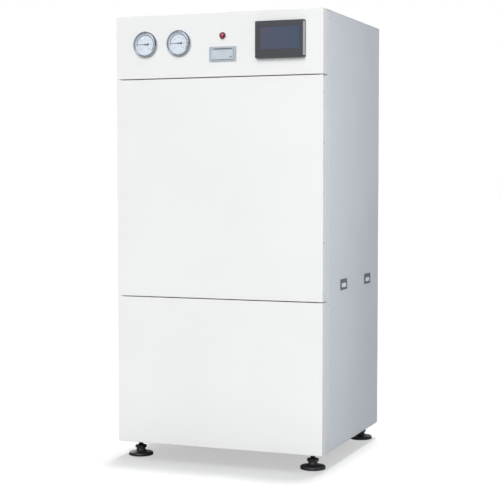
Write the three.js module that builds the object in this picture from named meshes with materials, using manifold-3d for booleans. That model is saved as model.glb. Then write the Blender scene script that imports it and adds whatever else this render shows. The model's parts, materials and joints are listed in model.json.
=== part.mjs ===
// Floor-standing cabinet steam steriliser: a white sheet-metal cabinet on four levelling feet, with a
// jacketed rectangular chamber closed by a motor-driven door that slides down behind a hinged front cover.
// Millimetres. +X is the viewer's right, +Y runs from the front to the back, +Z is up, and the floor is z = 0.
import * as THREE from "three";
import { mergeVertices } from "three/addons/utils/BufferGeometryUtils.js";
import Module from "manifold-3d";

const wasm = await Module();
wasm.setup();

// ---------------------------------------------------------------- driving dimensions
const WIDTH = 940; // over the side panels
const DEPTH = 844; // front panels to back panel
const FLOOR_GAP = 70; // floor to the underside of the cabinet
const TOP = 1920; // floor to the top cover
const DOOR_LOW = 714; // lower edge of the hinged front cover
const DOOR_HIGH = 1648; // upper edge of the hinged front cover
const SEAM = 4; // gap between neighbouring front panels
const SHEET = 2; // sheet-metal thickness
const PAST = 1; // how far a cutting tool runs past the face that it cuts
const PANEL_RETURN = 50; // depth of the folded edge of a front panel
const FRONT_PROUD = 18; // what stands out in front of the front panels
const REAR_PROUD = 40; // what stands out behind the back panel
const CONTACT = 0.4; // gap kept between faces that rest on each other

const HALF = WIDTH / 2;
const FRAME_FRONT = 56; // front face of the front frame
const FRAME_BACK = 98;
const SIDE_START = 104; // where the side panels begin, behind the front frame
const REAR_FRAME_FRONT = 797;
const REAR_FRAME_BACK = 838;
const SIDE_BACK = 841; // rear edge of the side panels
const BASE_TOP = 120; // top edge of the base tray
const BASE_SHELVES = [[112, 250], [480, 640]]; // raised strips across the base tray, as y ranges
const BAR = 48; // width of the frame bars
const CHANNEL_WALL = 3;
const SILL_LOW = 690; // the rail under the hinged cover
const HEADER_LOW = 1622; // the rail above the hinged cover
const HEADER_HIGH = 1682;
const FRAME_TOP = 1916;
const TOP_RAIL = 40; // width of the front frame's top bar
const BEAM = { inner: 225, size: 40, front: 156, top: 740 }; // the square tubes under the chamber

const TOP_VENTS = { front: 560, rows: 6, pitch: 26, slot: 8, inner: 20, outer: 180 };
const BACK_VENTS = { lows: [560, 1500], rows: 5, pitch: 40, slot: 12, inner: 130, outer: 330 };

const CHAMBER_Z = 1210; // height of the chamber's middle
const CAVITY = 450; // clear width and height of the chamber
const CAVITY_BACK = 740; // y of the chamber's rear wall
const VESSEL_WALL = 8;
const FLANGE = 580; // outer width and height of the chamber's front flange
const FLANGE_FRONT = 152;
const FLANGE_BACK = 180;

const SLIDE_HALF = 280; // half width of the sliding pressure door
const SLIDE_LOW = 925;
const SLIDE_HIGH = 1495;
const SLIDE_FRONT = 128; // front face of the sliding door's plate
const SLIDE_BACK = 150;

const SHELF_LEVELS = [["shelf_lower", CHAMBER_Z - 170], ["shelf_upper", CHAMBER_Z]];
const RUNNER = 6; // thickness of the runners that the shelves slide on
const CHAMBER_RINGS = { first: 215, pitch: 120, count: 5, width: 30, height: 32 };

const SCREW = { x: 374, y: 140, radius: 12, journal: 8, low: 350, high: 1090 };
const GEAR_MODULE = 2.8;
const GEAR_TEETH = 32;
const PINION_TEETH = 16;
const GEAR_CENTRES = (GEAR_MODULE * (GEAR_TEETH + PINION_TEETH)) / 2;

const DOOR_PIVOT = { x: HALF - 14, y: 14, radius: 4, snug: 4.4, loose: 5.5 };
const CONTROL_Z = 1798; // height of the gauges and the touch screen
const GAUGE_X = [-331, -174];
const GAUGE_RADIUS = 55;
const SCREEN = { x: 286.5, width: 216, height: 153 };
const BUTTON = { x: 27, z: 1823, barrel: 10.8, rim: 14.5, cap: 12.2 };
const PRINTER = { x: 27, z: 1746, width: 121, height: 62 };
const FEED_KEY = { x: 38, z: -12 }; // on the printer's lid, from the printer's middle
const LATCH = {
  z: 768,
  ys: [291, 654],
  width: 92,
  height: 46,
  body: 40, // half width of the box behind the plate, and its lower and upper sides
  bodyLow: -18,
  bodyHigh: 11,
  pivotX: -2,
  pivotZ: 4,
};
const FOOT = { x: 402, ys: [84, 790], pad: 54, spindle: 10, top: 104, hole: 10.6 };

// ---------------------------------------------------------------- materials
const finish = (color, roughness, metalness = 0) =>
  new THREE.MeshStandardMaterial({ color, roughness, metalness });
const WHITE_PAINT = finish(0xf2f2f2, 0.45);
const GREY_PAINT = finish(0xc9cdd2, 0.5);
const STEEL = finish(0xb9bdc2, 0.35, 0.9);
const BRIGHT_STEEL = finish(0xd5d8db, 0.2, 1);
const DARK_METAL = finish(0x5d6167, 0.4, 0.6);
const BLACK_PLASTIC = finish(0x1c1c1e, 0.55);
const SMOKE_PLASTIC = finish(0x3a3b40, 0.4);
const PALE_PLASTIC = finish(0xc9d2dc, 0.4);
const DIAL_FACE = finish(0xf1f4f7, 0.6);
const RED_LENS = finish(0xa01f35, 0.25);
const CLEAR_GLASS = finish(0xdfe8ee, 0.05);
const SCREEN_GLASS = finish(0x55627a, 0.12);
const SILICONE = finish(0xb8503f, 0.7);
const PAPER = finish(0xf4f2ec, 0.9);
const BRASS = finish(0xb08d4f, 0.3, 1);

// ---------------------------------------------------------------- solids
// A closed three.js geometry as a manifold-3d solid, and back.
function solid(geometry) {
  const bare = geometry.index ? geometry.toNonIndexed() : geometry.clone();
  for (const name of Object.keys(bare.attributes)) {
    if (name !== "position") bare.deleteAttribute(name);
  }
  const merged = mergeVertices(bare, 1e-4);
  return new wasm.Manifold(
    new wasm.Mesh({
      numProp: 3,
      vertProperties: merged.attributes.position.array,
      triVerts: new Uint32Array(merged.index.array),
    }),
  );
}

function geometryOf(manifold) {
  const { vertProperties, triVerts } = manifold.getMesh();
  const geometry = new THREE.BufferGeometry();
  geometry.setAttribute("position", new THREE.BufferAttribute(vertProperties, 3));
  geometry.setIndex(new THREE.BufferAttribute(triVerts, 1));
  geometry.computeVertexNormals();
  return geometry;
}

const join = (...parts) => parts.slice(1).reduce((a, b) => a.add(b), parts[0]);
const cut = (body, ...tools) => tools.reduce((a, b) => a.subtract(b), body);

// A box from its lowest to its highest corner.
function box(x0, x1, y0, y1, z0, z1) {
  const geometry = new THREE.BoxGeometry(x1 - x0, y1 - y0, z1 - z0);
  geometry.translate((x0 + x1) / 2, (y0 + y1) / 2, (z0 + z1) / 2);
  return solid(geometry);
}

const AXIS_TURN = {
  x: (g) => g.rotateZ(-Math.PI / 2),
  y: (g) => g,
  z: (g) => g.rotateX(Math.PI / 2),
};

// A cylinder whose axis runs along x, y or z, from one end to the other.
function rod(axis, radius, from, to, a = 0, b = 0, sides = 24) {
  const geometry = AXIS_TURN[axis](new THREE.CylinderGeometry(radius, radius, to - from, sides));
  const middle = (from + to) / 2;
  const place = { x: [middle, a, b], y: [a, middle, b], z: [a, b, middle] }[axis];
  return solid(geometry.translate(...place));
}

// A turned solid about an axis: the profile is [radius, distance along the axis] pairs, in either direction.
function turned(axis, profile, sides = 24) {
  const area = profile.reduce((sum, [r, h], i) => {
    const [nextR, nextH] = profile[(i + 1) % profile.length];
    return sum + r * nextH - nextR * h;
  }, 0);
  const points = profile.map(([r, h]) => new THREE.Vector2(r, h));
  if (area < 0) points.reverse();
  return solid(AXIS_TURN[axis](new THREE.LatheGeometry(points, sides)));
}

// A rectangle with rounded corners, as a path that a shape or a hole can use.
function roundedRect(path, x0, x1, z0, z1, radius) {
  path.moveTo(x0 + radius, z0);
  path.lineTo(x1 - radius, z0);
  path.absarc(x1 - radius, z0 + radius, radius, -Math.PI / 2, 0, false);
  path.lineTo(x1, z1 - radius);
  path.absarc(x1 - radius, z1 - radius, radius, 0, Math.PI / 2, false);
  path.lineTo(x0 + radius, z1);
  path.absarc(x0 + radius, z1 - radius, radius, Math.PI / 2, Math.PI, false);
  path.lineTo(x0, z0 + radius);
  path.absarc(x0 + radius, z0 + radius, radius, Math.PI, 1.5 * Math.PI, false);
  return path;
}

// A rounded plate that stands upright between y0 and y1.
function roundedPlate(x0, x1, y0, y1, z0, z1, radius, curveSegments = 4) {
  const shape = roundedRect(new THREE.Shape(), x0, x1, z0, z1, radius);
  const geometry = new THREE.ExtrudeGeometry(shape, {
    depth: y1 - y0,
    bevelEnabled: false,
    curveSegments,
  });
  return solid(geometry.rotateX(Math.PI / 2).translate(0, y1, 0));
}

// ---------------------------------------------------------------- the tree of parts
const part = new THREE.Group();
const cabinet = new THREE.Group();
cabinet.position.y = (FRONT_PROUD - REAR_PROUD) / 2 - DEPTH / 2;
part.add(cabinet);

function place(name, shape, material, parent = cabinet) {
  const mesh = new THREE.Mesh(geometryOf(shape), material);
  mesh.name = name;
  parent.add(mesh);
  return mesh;
}

function groupAt(x, y, z) {
  const group = new THREE.Group();
  group.position.set(x, y, z);
  cabinet.add(group);
  return group;
}

// ---------------------------------------------------------------- cabinet structure
// An upright frame of channels that open to the back. Windows are [x0, x1, z0, z1].
function channelFrame(half, z0, z1, yFront, yBack, windows) {
  let outer = box(-half, half, yFront, yBack, z0, z1);
  let inner = box(
    -half + CHANNEL_WALL,
    half - CHANNEL_WALL,
    yFront + CHANNEL_WALL,
    yBack + 1,
    z0 + CHANNEL_WALL,
    z1 - CHANNEL_WALL,
  );
  for (const [x0, x1, w0, w1] of windows) {
    outer = cut(outer, box(x0, x1, yFront - 1, yBack + 1, w0, w1));
    inner = cut(
      inner,
      box(
        x0 - CHANNEL_WALL,
        x1 + CHANNEL_WALL,
        yFront - 1,
        yBack + 2,
        w0 - CHANNEL_WALL,
        w1 + CHANNEL_WALL,
      ),
    );
  }
  return cut(outer, inner);
}

function frames() {
  const low = BASE_TOP + CONTACT;
  const inside = HALF - BAR;
  const front = channelFrame(HALF, low, FRAME_TOP, FRAME_FRONT, FRAME_BACK, [
    [-inside, inside, low + BAR, SILL_LOW],
    [-inside, inside, SILL_LOW + BAR, HEADER_LOW],
    [-inside, inside, HEADER_HIGH, FRAME_TOP - TOP_RAIL],
  ]);
  place("front_frame", front, GREY_PAINT);
  const rearHalf = HALF - 4;
  const rear = channelFrame(rearHalf, low, FRAME_TOP, REAR_FRAME_FRONT, REAR_FRAME_BACK, [
    [-inside, inside, low + BAR, SILL_LOW],
    [-inside, inside, SILL_LOW + BAR, FRAME_TOP - BAR],
  ]);
  place("rear_frame", rear, GREY_PAINT);
  for (const [side, sign] of [["left", -1], ["right", 1]]) {
    const x0 = sign > 0 ? BEAM.inner : -BEAM.inner - BEAM.size;
    const back = REAR_FRAME_FRONT - CONTACT;
    const wall = CHANNEL_WALL;
    const beam = cut(
      join(
        box(x0, x0 + BEAM.size, BEAM.front, back, BEAM.top - BEAM.size, BEAM.top),
        box(x0, x0 + BEAM.size, BEAM.front, BEAM.front + BEAM.size, BASE_TOP + CONTACT, BEAM.top),
      ),
      box(
        x0 + wall,
        x0 + BEAM.size - wall,
        BEAM.front + wall,
        back + 1,
        BEAM.top - BEAM.size + wall,
        BEAM.top - wall,
      ),
      box(
        x0 + wall,
        x0 + BEAM.size - wall,
        BEAM.front + wall,
        BEAM.front + BEAM.size - wall,
        BASE_TOP,
        BEAM.top - wall,
      ),
    );
    place(`chamber_beam_${side}`, beam, GREY_PAINT);
  }
}

function baseFrame() {
  const half = HALF - 4;
  const back = REAR_FRAME_BACK;
  const wall = CHANNEL_WALL;
  let tray = cut(
    join(
      box(-half, half, FRAME_FRONT, back, FLOOR_GAP, BASE_TOP),
      box(-HALF, HALF, FRAME_FRONT, FRAME_BACK, FLOOR_GAP, BASE_TOP),
    ),
    box(
      -half + wall,
      half - wall,
      FRAME_FRONT + wall,
      back - wall,
      FLOOR_GAP + wall,
      BASE_TOP + 1,
    ),
  );
  for (const [y0, y1] of BASE_SHELVES) {
    tray = join(tray, box(-half + 1, half - 1, y0, y1, FLOOR_GAP + 1, BASE_TOP));
    const under = box(
      -half + wall,
      half - wall,
      y0 + wall,
      y1 - wall,
      FLOOR_GAP - 1,
      BASE_TOP - wall,
    );
    tray = cut(tray, under);
  }
  const boss = 30;
  for (const y of FOOT.ys) {
    for (const x of [-FOOT.x, FOOT.x]) {
      const y0 = Math.max(y - boss, FRAME_FRONT + 1);
      const y1 = Math.min(y + boss, back - 1);
      tray = join(tray, box(x - boss, x + boss, y0, y1, FLOOR_GAP + 1, BASE_TOP - 2));
      tray = cut(tray, rod("z", FOOT.hole, FLOOR_GAP - 1, BASE_TOP, x, y));
    }
  }
  place("base_frame", tray, GREY_PAINT);
}

// A levelling foot: a broad pad, a ribbed boss, a hand-turned collar and the threaded spindle.
function feet() {
  const profile = [
    [0, 0],
    [FOOT.pad, 0],
    [FOOT.pad, 11],
    [FOOT.pad - 3, 14],
    [24, 19],
    [18, 23],
    [18, 33],
    [26, 33],
    [26, 44],
    [FOOT.spindle, 48],
    [FOOT.spindle, FOOT.top],
    [0, FOOT.top],
  ];
  const shape = turned("z", profile);
  const rows = [["front", FOOT.ys[0]], ["rear", FOOT.ys[1]]];
  for (const [row, y] of rows) {
    for (const [side, x] of [["left", -FOOT.x], ["right", FOOT.x]]) {
      place(`foot_${row}_${side}`, shape, BLACK_PLASTIC, groupAt(x, y, 0));
    }
  }
}

// ---------------------------------------------------------------- outer panels
// A sheet pan that faces the front, with folded edges running back to PANEL_RETURN.
function frontPan(z0, z1) {
  return cut(
    box(-HALF, HALF, 0, PANEL_RETURN, z0, z1),
    box(-HALF + SHEET, HALF - SHEET, SHEET, PANEL_RETURN + 1, z0 + SHEET, z1 - SHEET),
  );
}

const pivotHole = (radius, z0, z1) => rod("z", radius, z0, z1, DOOR_PIVOT.x, DOOR_PIVOT.y);

function controlFascia() {
  let pan = frontPan(DOOR_HIGH + SEAM, TOP);
  const [from, to] = [-PAST, SHEET + PAST];
  const gaugeHole = GAUGE_RADIUS - 4.5;
  for (const x of GAUGE_X) {
    pan = cut(pan, rod("y", gaugeHole, from, to, x, CONTROL_Z, 32));
  }
  const buttonHole = BUTTON.barrel + 0.6;
  const slot = { x: 53, z: 27 };
  const bezelLip = 5.5;
  const window = { x: SCREEN.width / 2 - bezelLip, z: SCREEN.height / 2 - bezelLip };
  pan = cut(
    pan,
    rod("y", buttonHole, from, to, BUTTON.x, BUTTON.z),
    box(PRINTER.x - slot.x, PRINTER.x + slot.x, from, to, PRINTER.z - slot.z, PRINTER.z + slot.z),
    box(SCREEN.x - window.x, SCREEN.x + window.x, from, to, CONTROL_Z - window.z, CONTROL_Z + window.z),
    pivotHole(DOOR_PIVOT.loose, DOOR_HIGH, DOOR_HIGH + SEAM + SHEET + 2),
  );
  place("control_fascia", pan, WHITE_PAINT);
}

function lowerFrontPanel() {
  const top = DOOR_LOW - SEAM;
  const pan = cut(frontPan(FLOOR_GAP + 2, top), pivotHole(DOOR_PIVOT.loose, top - SHEET - 2, top + 2));
  place("lower_front_panel", pan, WHITE_PAINT);
}

function sidePanels() {
  const low = FLOOR_GAP + 4;
  const high = TOP - SHEET - CONTACT;
  const lip = 15;
  const folded = join(
    box(HALF - SHEET, HALF, SIDE_START, SIDE_BACK, low, high),
    box(HALF - lip, HALF - 1, SIDE_START, SIDE_START + SHEET, BASE_TOP + SHEET, high),
    box(HALF - lip, HALF - 1, SIDE_BACK - SHEET, SIDE_BACK, low, high),
  );
  const { body, bodyLow, bodyHigh } = LATCH;
  const room = 2;
  let latched = folded;
  for (const y of LATCH.ys) {
    const [y0, y1] = [y - body - room, y + body + room];
    const [z0, z1] = [LATCH.z + bodyLow - room, LATCH.z + bodyHigh + room];
    latched = cut(latched, box(HALF - SHEET - PAST, HALF + PAST, y0, y1, z0, z1));
  }
  place("side_panel_right", latched, GREY_PAINT);
  place("side_panel_left", folded.mirror([1, 0, 0]), GREY_PAINT);
}

function topCover() {
  let cover = box(-HALF, HALF, PANEL_RETURN + 1, DEPTH, TOP - SHEET, TOP);
  for (const sign of [-1, 1]) {
    const x0 = sign > 0 ? HALF - 6 : -HALF + 4;
    cover = join(cover, box(x0, x0 + SHEET, 106, 796, TOP - 20, TOP - 1));
  }
  const { front, rows, pitch, slot, inner, outer } = TOP_VENTS;
  for (let row = 0; row < rows; row += 1) {
    const y = front + row * pitch;
    for (const [x0, x1] of [[-outer, -inner], [inner, outer]]) {
      cover = cut(cover, box(x0, x1, y, y + slot, TOP - SHEET - PAST, TOP + PAST));
    }
  }
  place("top_cover", cover, GREY_PAINT);
}

function backPanel() {
  let panel = box(-HALF + 4, HALF - 4, DEPTH - SHEET, DEPTH, BASE_TOP + 4, TOP - 6);
  const { lows, rows, pitch, slot, inner, outer } = BACK_VENTS;
  for (const low of lows) {
    for (let row = 0; row < rows; row += 1) {
      const z = low + row * pitch;
      for (const [x0, x1] of [[-outer, -inner], [inner, outer]]) {
        panel = cut(panel, box(x0, x1, DEPTH - SHEET - PAST, DEPTH + PAST, z, z + slot));
      }
    }
  }
  place("back_panel", panel, GREY_PAINT);
}

// Water, steam and drain stubs and the cable gland, on one plate at the back.
function serviceConnectors() {
  const [front, back] = [DEPTH + CONTACT, DEPTH + CONTACT + 3];
  const tip = DEPTH + REAR_PROUD;
  const z = 295;
  let plate = box(-180, 180, front, back, z - 55, z + 55);
  const stubs = [[-130, 13], [-50, 13], [40, 20]];
  for (const [x, radius] of stubs) {
    const stub = join(
      rod("y", radius, back - 1, tip, x, z, 20),
      rod("y", radius + 7, back - 1, back + 12, x, z, 6),
    );
    plate = cut(join(plate, stub), rod("y", radius - 3, back + 4, tip + PAST, x, z, 20));
  }
  const glandX = 130;
  const gland = join(
    rod("y", 15, back - 1, back + 10, glandX, z, 6),
    rod("y", 11, back + 9, back + 26, glandX, z, 16),
  );
  plate = cut(join(plate, gland), rod("y", 6, back + 2, back + 26 + PAST, glandX, z, 16));
  place("service_connectors", plate, BRIGHT_STEEL);
}

// ---------------------------------------------------------------- hinged front cover
function frontCover() {
  const { x, y, radius, snug } = DOOR_PIVOT;
  const pan = cut(
    frontPan(DOOR_LOW, DOOR_HIGH),
    pivotHole(snug, DOOR_LOW - PAST, DOOR_LOW + SHEET + PAST),
    pivotHole(snug, DOOR_HIGH - SHEET - PAST, DOOR_HIGH + PAST),
  );
  place("front_door_panel", pan, WHITE_PAINT);
  const fit = SHEET + CONTACT;
  const edge = HALF - fit;
  const [linerFront, linerBack] = [30, 46];
  const liner = cut(
    box(-edge, edge, linerFront, linerBack, DOOR_LOW + fit, DOOR_HIGH - fit),
    box(
      -edge + SHEET,
      edge - SHEET,
      linerFront - PAST,
      linerBack - SHEET,
      DOOR_LOW + fit + SHEET,
      DOOR_HIGH - fit - SHEET,
    ),
  );
  place("front_door_liner", liner, GREY_PAINT);
  const bracket = (z0, pin0, pin1) =>
    join(
      box(x - 20, x + 10, y - 8, FRAME_FRONT - CONTACT, z0, z0 + 4),
      rod("z", radius, pin0, pin1, x, y),
    );
  const upper = DOOR_HIGH + SEAM + SHEET + 3;
  const lower = DOOR_LOW - SEAM - SHEET - 7;
  place("door_pivot_upper", bracket(upper, DOOR_HIGH - 14, upper + 2), BRIGHT_STEEL);
  place("door_pivot_lower", bracket(lower, lower + 2, DOOR_LOW + 14), BRIGHT_STEEL);
}

// The stainless facing behind the hinged cover, with the window that the pressure door shows through.
function innerFacade() {
  const x = HALF - BAR - CONTACT;
  const [z0, z1] = [SILL_LOW + BAR + CONTACT, HEADER_LOW - CONTACT];
  const [w, w0, w1] = [300, 905, 1515];
  const [front, back] = [60, 76];
  const shell = cut(
    box(-x, x, front, back, z0, z1),
    box(-x + SHEET, x - SHEET, front + SHEET, back + PAST, z0 + SHEET, z1 - SHEET),
  );
  const collar = box(-w - SHEET, w + SHEET, front, FRAME_BACK, w0 - SHEET, w1 + SHEET);
  const facade = cut(join(shell, collar), box(-w, w, front - PAST, FRAME_BACK + PAST, w0, w1));
  place("inner_facade", facade, STEEL);
}

// ---------------------------------------------------------------- chamber
function chamber() {
  const half = CAVITY / 2;
  const outer = half + VESSEL_WALL;
  const rings = CHAMBER_RINGS;
  const ringHalf = outer + rings.height;
  const [y0, y1] = [FLANGE_BACK + CONTACT, CAVITY_BACK + 12];
  const at = (h, a, b) => box(-h, h, a, b, CHAMBER_Z - h, CHAMBER_Z + h);
  let shell = at(outer, y0, y1);
  for (let index = 0; index < rings.count; index += 1) {
    const y = rings.first + index * rings.pitch;
    shell = join(shell, at(ringHalf, y, y + rings.width));
  }
  shell = cut(shell, at(half, y0 - PAST, CAVITY_BACK));
  const runnerWidth = 13;
  for (const [, z] of SHELF_LEVELS) {
    for (const x0 of [-half - 1, half - runnerWidth]) {
      shell = join(shell, box(x0, x0 + runnerWidth + 1, y0 + 40, CAVITY_BACK - 20, z, z + RUNNER));
    }
  }
  // Four feet under the end rings stand on the square tubes.
  const footWidth = 34;
  const footLow = BEAM.top + 0.5;
  for (const x0 of [-BEAM.inner - 37, BEAM.inner + 3]) {
    for (const y of [rings.first, rings.first + (rings.count - 1) * rings.pitch]) {
      shell = join(shell, box(x0, x0 + footWidth, y, y + rings.width, footLow, CHAMBER_Z - ringHalf + 1));
    }
  }
  place("chamber_shell", shell, STEEL);

  const flangeHalf = FLANGE / 2;
  const grooveOuter = half + 28;
  const grooveInner = half + 16;
  const ring = (a, b, outerHalf, innerHalf, extra) =>
    cut(
      roundedPlate(-outerHalf, outerHalf, a, b, CHAMBER_Z - outerHalf, CHAMBER_Z + outerHalf, 24 + extra),
      roundedPlate(
        -innerHalf, innerHalf, a - 1, b + 1, CHAMBER_Z - innerHalf, CHAMBER_Z + innerHalf, 14 + extra,
      ),
    );
  const flange = cut(
    ring(FLANGE_FRONT, FLANGE_BACK, flangeHalf, half, 0),
    ring(FLANGE_FRONT - 1, FLANGE_FRONT + 10, grooveOuter, grooveInner, 12),
  );
  place("chamber_flange", flange, BRIGHT_STEEL);
  const gasket = ring(
    SLIDE_BACK + 0.5, FLANGE_FRONT + 10 - CONTACT, grooveOuter - CONTACT, grooveInner + CONTACT, 12,
  );
  place("chamber_gasket", gasket, SILICONE);

  const shelfHalf = half - 6;
  const [shelfFront, shelfBack, rim] = [225, CAVITY_BACK - 25, 14];
  for (const [name, z] of SHELF_LEVELS) {
    const base = z + RUNNER + CONTACT;
    const shelf = cut(
      box(-shelfHalf, shelfHalf, shelfFront, shelfBack, base, base + 12),
      box(-shelfHalf + rim, shelfHalf - rim, shelfFront + rim, shelfBack - rim, base - PAST, base + 10),
    );
    place(name, shelf, BRIGHT_STEEL);
  }
}

// ---------------------------------------------------------------- sliding pressure door and its drive
function pressureDoor() {
  const rib = { width: 10, height: 20, xs: [-200, -70, 60, 190], zs: [1040, 1205, 1370], inset: 10 };
  const ribFront = SLIDE_FRONT - rib.height;
  const [low, high] = [SLIDE_LOW + rib.inset, SLIDE_HIGH - rib.inset];
  let door = box(-SLIDE_HALF, SLIDE_HALF, SLIDE_FRONT, SLIDE_BACK, SLIDE_LOW, SLIDE_HIGH);
  for (const x of rib.xs) {
    door = join(door, box(x, x + rib.width, ribFront, SLIDE_FRONT + 1, low, high));
  }
  const across = SLIDE_HALF - rib.inset;
  for (const z of rib.zs) {
    door = join(door, box(-across, across, ribFront + 4, SLIDE_FRONT + 1, z, z + rib.width));
  }
  // A tongue down each side runs in a groove of its guide.
  const tongue = { reach: 16, front: 134, back: 144.5 };
  for (const sign of [-1, 1]) {
    const x0 = sign > 0 ? SLIDE_HALF - 1 : -SLIDE_HALF - tongue.reach;
    const x1 = x0 + tongue.reach + 1;
    door = join(door, box(x0, x1, tongue.front, tongue.back, SLIDE_LOW, SLIDE_HIGH));
  }
  place("pressure_door", door, STEEL);

  const guideTop = 1500;
  const inner = SLIDE_HALF + 4;
  const guide = cut(
    box(inner, inner + 40, 116, FLANGE_FRONT - 1, BASE_TOP + CONTACT, guideTop),
    box(inner - PAST, inner + 14, tongue.front - 1, tongue.back + 1, BASE_TOP, guideTop + PAST),
    box(inner + 20, inner + 40 + PAST, 122, FLANGE_FRONT, BASE_TOP, guideTop + PAST),
  );
  place("door_guide_right", guide, STEEL);
  place("door_guide_left", guide.mirror([1, 0, 0]), STEEL);

  const { x, y, radius } = SCREW;
  const [z0, z1] = [960, 1020];
  const carriage = cut(
    join(box(200, x + 24, 101, 107.5, z0, z1), box(x - 24, x + 24, 101, y + 26, z0, z1)),
    rod("z", radius + 0.6, z0 - 1, z1 + 1, x, y),
  );
  place("lead_nut_carriage", carriage, BRASS);
}

// The outline of an involute spur gear, thinned by the backlash at its pitch circle.
function gearOutline(teeth, backlash) {
  const pitch = (GEAR_MODULE * teeth) / 2;
  const base = pitch * Math.cos(Math.PI / 9);
  const tip = pitch + GEAR_MODULE * 0.9;
  const root = pitch - GEAR_MODULE * 1.25;
  const involute = (r) => {
    const t = Math.sqrt(Math.max((r / base) ** 2 - 1, 0));
    return t - Math.atan(t);
  };
  const halfTooth = Math.PI / (2 * teeth) - backlash / (2 * pitch) + involute(pitch);
  const radii = [0, 0.55, 1].map((s) => Math.max(base, root) + s * (tip - Math.max(base, root)));
  const shape = new THREE.Shape();
  for (let tooth = 0; tooth < teeth; tooth += 1) {
    const middle = (2 * Math.PI * tooth) / teeth;
    const flank = radii.map((r) => [r, halfTooth - involute(r)]);
    const rising = [[root, halfTooth], ...flank].map(([r, a]) => [r, middle - a]);
    const falling = [[root, halfTooth], ...flank].reverse().map(([r, a]) => [r, middle + a]);
    for (const [r, a] of [...rising, ...falling]) {
      const [px, py] = [r * Math.cos(a), r * Math.sin(a)];
      if (tooth === 0 && shape.curves.length === 0 && shape.currentPoint.length() === 0) {
        shape.moveTo(px, py);
      } else {
        shape.lineTo(px, py);
      }
    }
  }
  shape.closePath();
  return shape;
}

function gear(teeth, z0, z1, turn) {
  const geometry = new THREE.ExtrudeGeometry(gearOutline(teeth, 0.6), {
    depth: z1 - z0,
    bevelEnabled: false,
  });
  return solid(geometry.rotateZ(turn).translate(0, 0, z0));
}

function doorDrive() {
  const { x, y, radius, journal, low, high } = SCREW;
  const screw = turned("z", [
    [0, 298],
    [journal, 298],
    [journal, low],
    [radius, low],
    [radius, high],
    [journal, high],
    [journal, high + 34],
    [0, high + 34],
  ]);
  place("lead_screw", screw, BRIGHT_STEEL, groupAt(x, y, 0));

  // A tooth of the gear lies in a gap of the pinion, on the line between their centres.
  const [gearLow, gearHigh] = [303, 321];
  const bore = rod("z", journal + 0.3, gearLow - PAST, gearHigh + PAST);
  const wheel = cut(gear(GEAR_TEETH, gearLow, gearHigh, 0), bore);
  place("screw_gear", wheel, BRASS, groupAt(x, y, 0));
  const shaft = { radius: 6, low: 268 };
  const halfPitch = Math.PI / PINION_TEETH;
  const pinion = join(
    gear(PINION_TEETH, gearLow - 2, gearHigh + 2, -Math.PI / 2 + halfPitch),
    rod("z", shaft.radius, shaft.low, gearLow),
  );
  place("motor_pinion", pinion, STEEL, groupAt(x, y + GEAR_CENTRES, 0));

  // The motor's barrel, its square flange, its terminal box and the bore for its shaft.
  const [flangeLow, flangeHigh, flangeSide] = [284, 292, 48];
  const motor = cut(
    join(
      rod("z", 42, BASE_TOP + CONTACT, flangeLow, 0, 0, 32),
      box(-flangeSide, flangeSide, -flangeSide, flangeSide, flangeLow - 1, flangeHigh),
      box(-22, 22, 36, 66, 190, 250),
    ),
    rod("z", shaft.radius + 0.5, shaft.low - 6, flangeHigh + PAST),
  );
  place("door_motor", motor, DARK_METAL, groupAt(x, y + GEAR_CENTRES, 0));

  // One wall and two shelves, which carry both ends of the lead screw.
  const [left, right, front, back, plate] = [x - 26, x + 58, 112, 178, 6];
  const lowerShelf = [330, 342];
  const upperShelf = [high + 8, high + 20];
  const bracket = cut(
    join(
      box(right - plate, right, front, back, BASE_TOP + CONTACT, high + 22),
      box(left, right, front, back, ...lowerShelf),
      box(left, right, front, back, ...upperShelf),
    ),
    rod("z", journal + 0.5, 320, 350, x, y),
    rod("z", journal + 0.5, high + 2, high + 30, x, y),
  );
  place("screw_bracket", bracket, GREY_PAINT);
}

// ---------------------------------------------------------------- plant inside the cabinet
// An upright tank on a skirt, open at the flange that its heaters hang from.
function steamGenerator() {
  const [radius, wall, mouth, rim] = [130, 6, 60, 84];
  const [low, high] = [BASE_TOP + CONTACT, 620];
  const profile = [
    [mouth, high],
    [mouth, high - 24],
    [radius - wall, high - 62],
    [radius - wall, low + 66],
    [mouth, low + 30],
    [0, low + 26],
    [0, low + 18],
    [mouth, low + 18],
    [radius, low + 2],
    [radius, high - 58],
    [mouth + wall, high - 18],
    [rim, high - 16],
    [rim, high],
    [mouth, high],
  ];
  place("steam_generator", turned("z", profile, 28), BRIGHT_STEEL, groupAt(-270, 560, 0));
}

function vacuumPump() {
  const [y, z, foot] = [560, 225, BASE_TOP + CONTACT];
  const motor = rod("x", 72, 60, 300, y, z, 28);
  const head = rod("x", 92, -60, 62, y, z, 28);
  const fanCowl = rod("x", 78, 298, 330, y, z, 28);
  const bedplate = box(-50, 290, y - 60, y + 60, foot, foot + 14);
  const legs = join(
    box(-40, 30, y - 40, y + 40, foot + 10, 200),
    box(210, 270, y - 40, y + 40, foot + 10, 200),
  );
  const terminalBox = box(120, 200, y - 30, y + 30, 280, 322);
  const inlet = rod("z", 18, 280, 345, 0, y);
  place("vacuum_pump", join(motor, head, fanCowl, bedplate, legs, terminalBox, inlet), DARK_METAL);
}

// The switchgear box: thin walls, with the cable opening in its floor.
function electricalBox() {
  const [x0, x1, y0, y1, z0, z1] = [-440, -160, 300, 620, 1540, 1860];
  const shell = cut(
    box(x0, x1, y0, y1, z0, z1),
    box(x0 + SHEET, x1 - SHEET, y0 + SHEET, y1 - SHEET, z0 + SHEET, z1 - SHEET),
    box(x0 + 40, x1 - 40, y0 + 30, y0 + 80, z0 - 1, z0 + SHEET + 1),
  );
  place("electrical_box", shell, GREY_PAINT);
}

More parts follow.
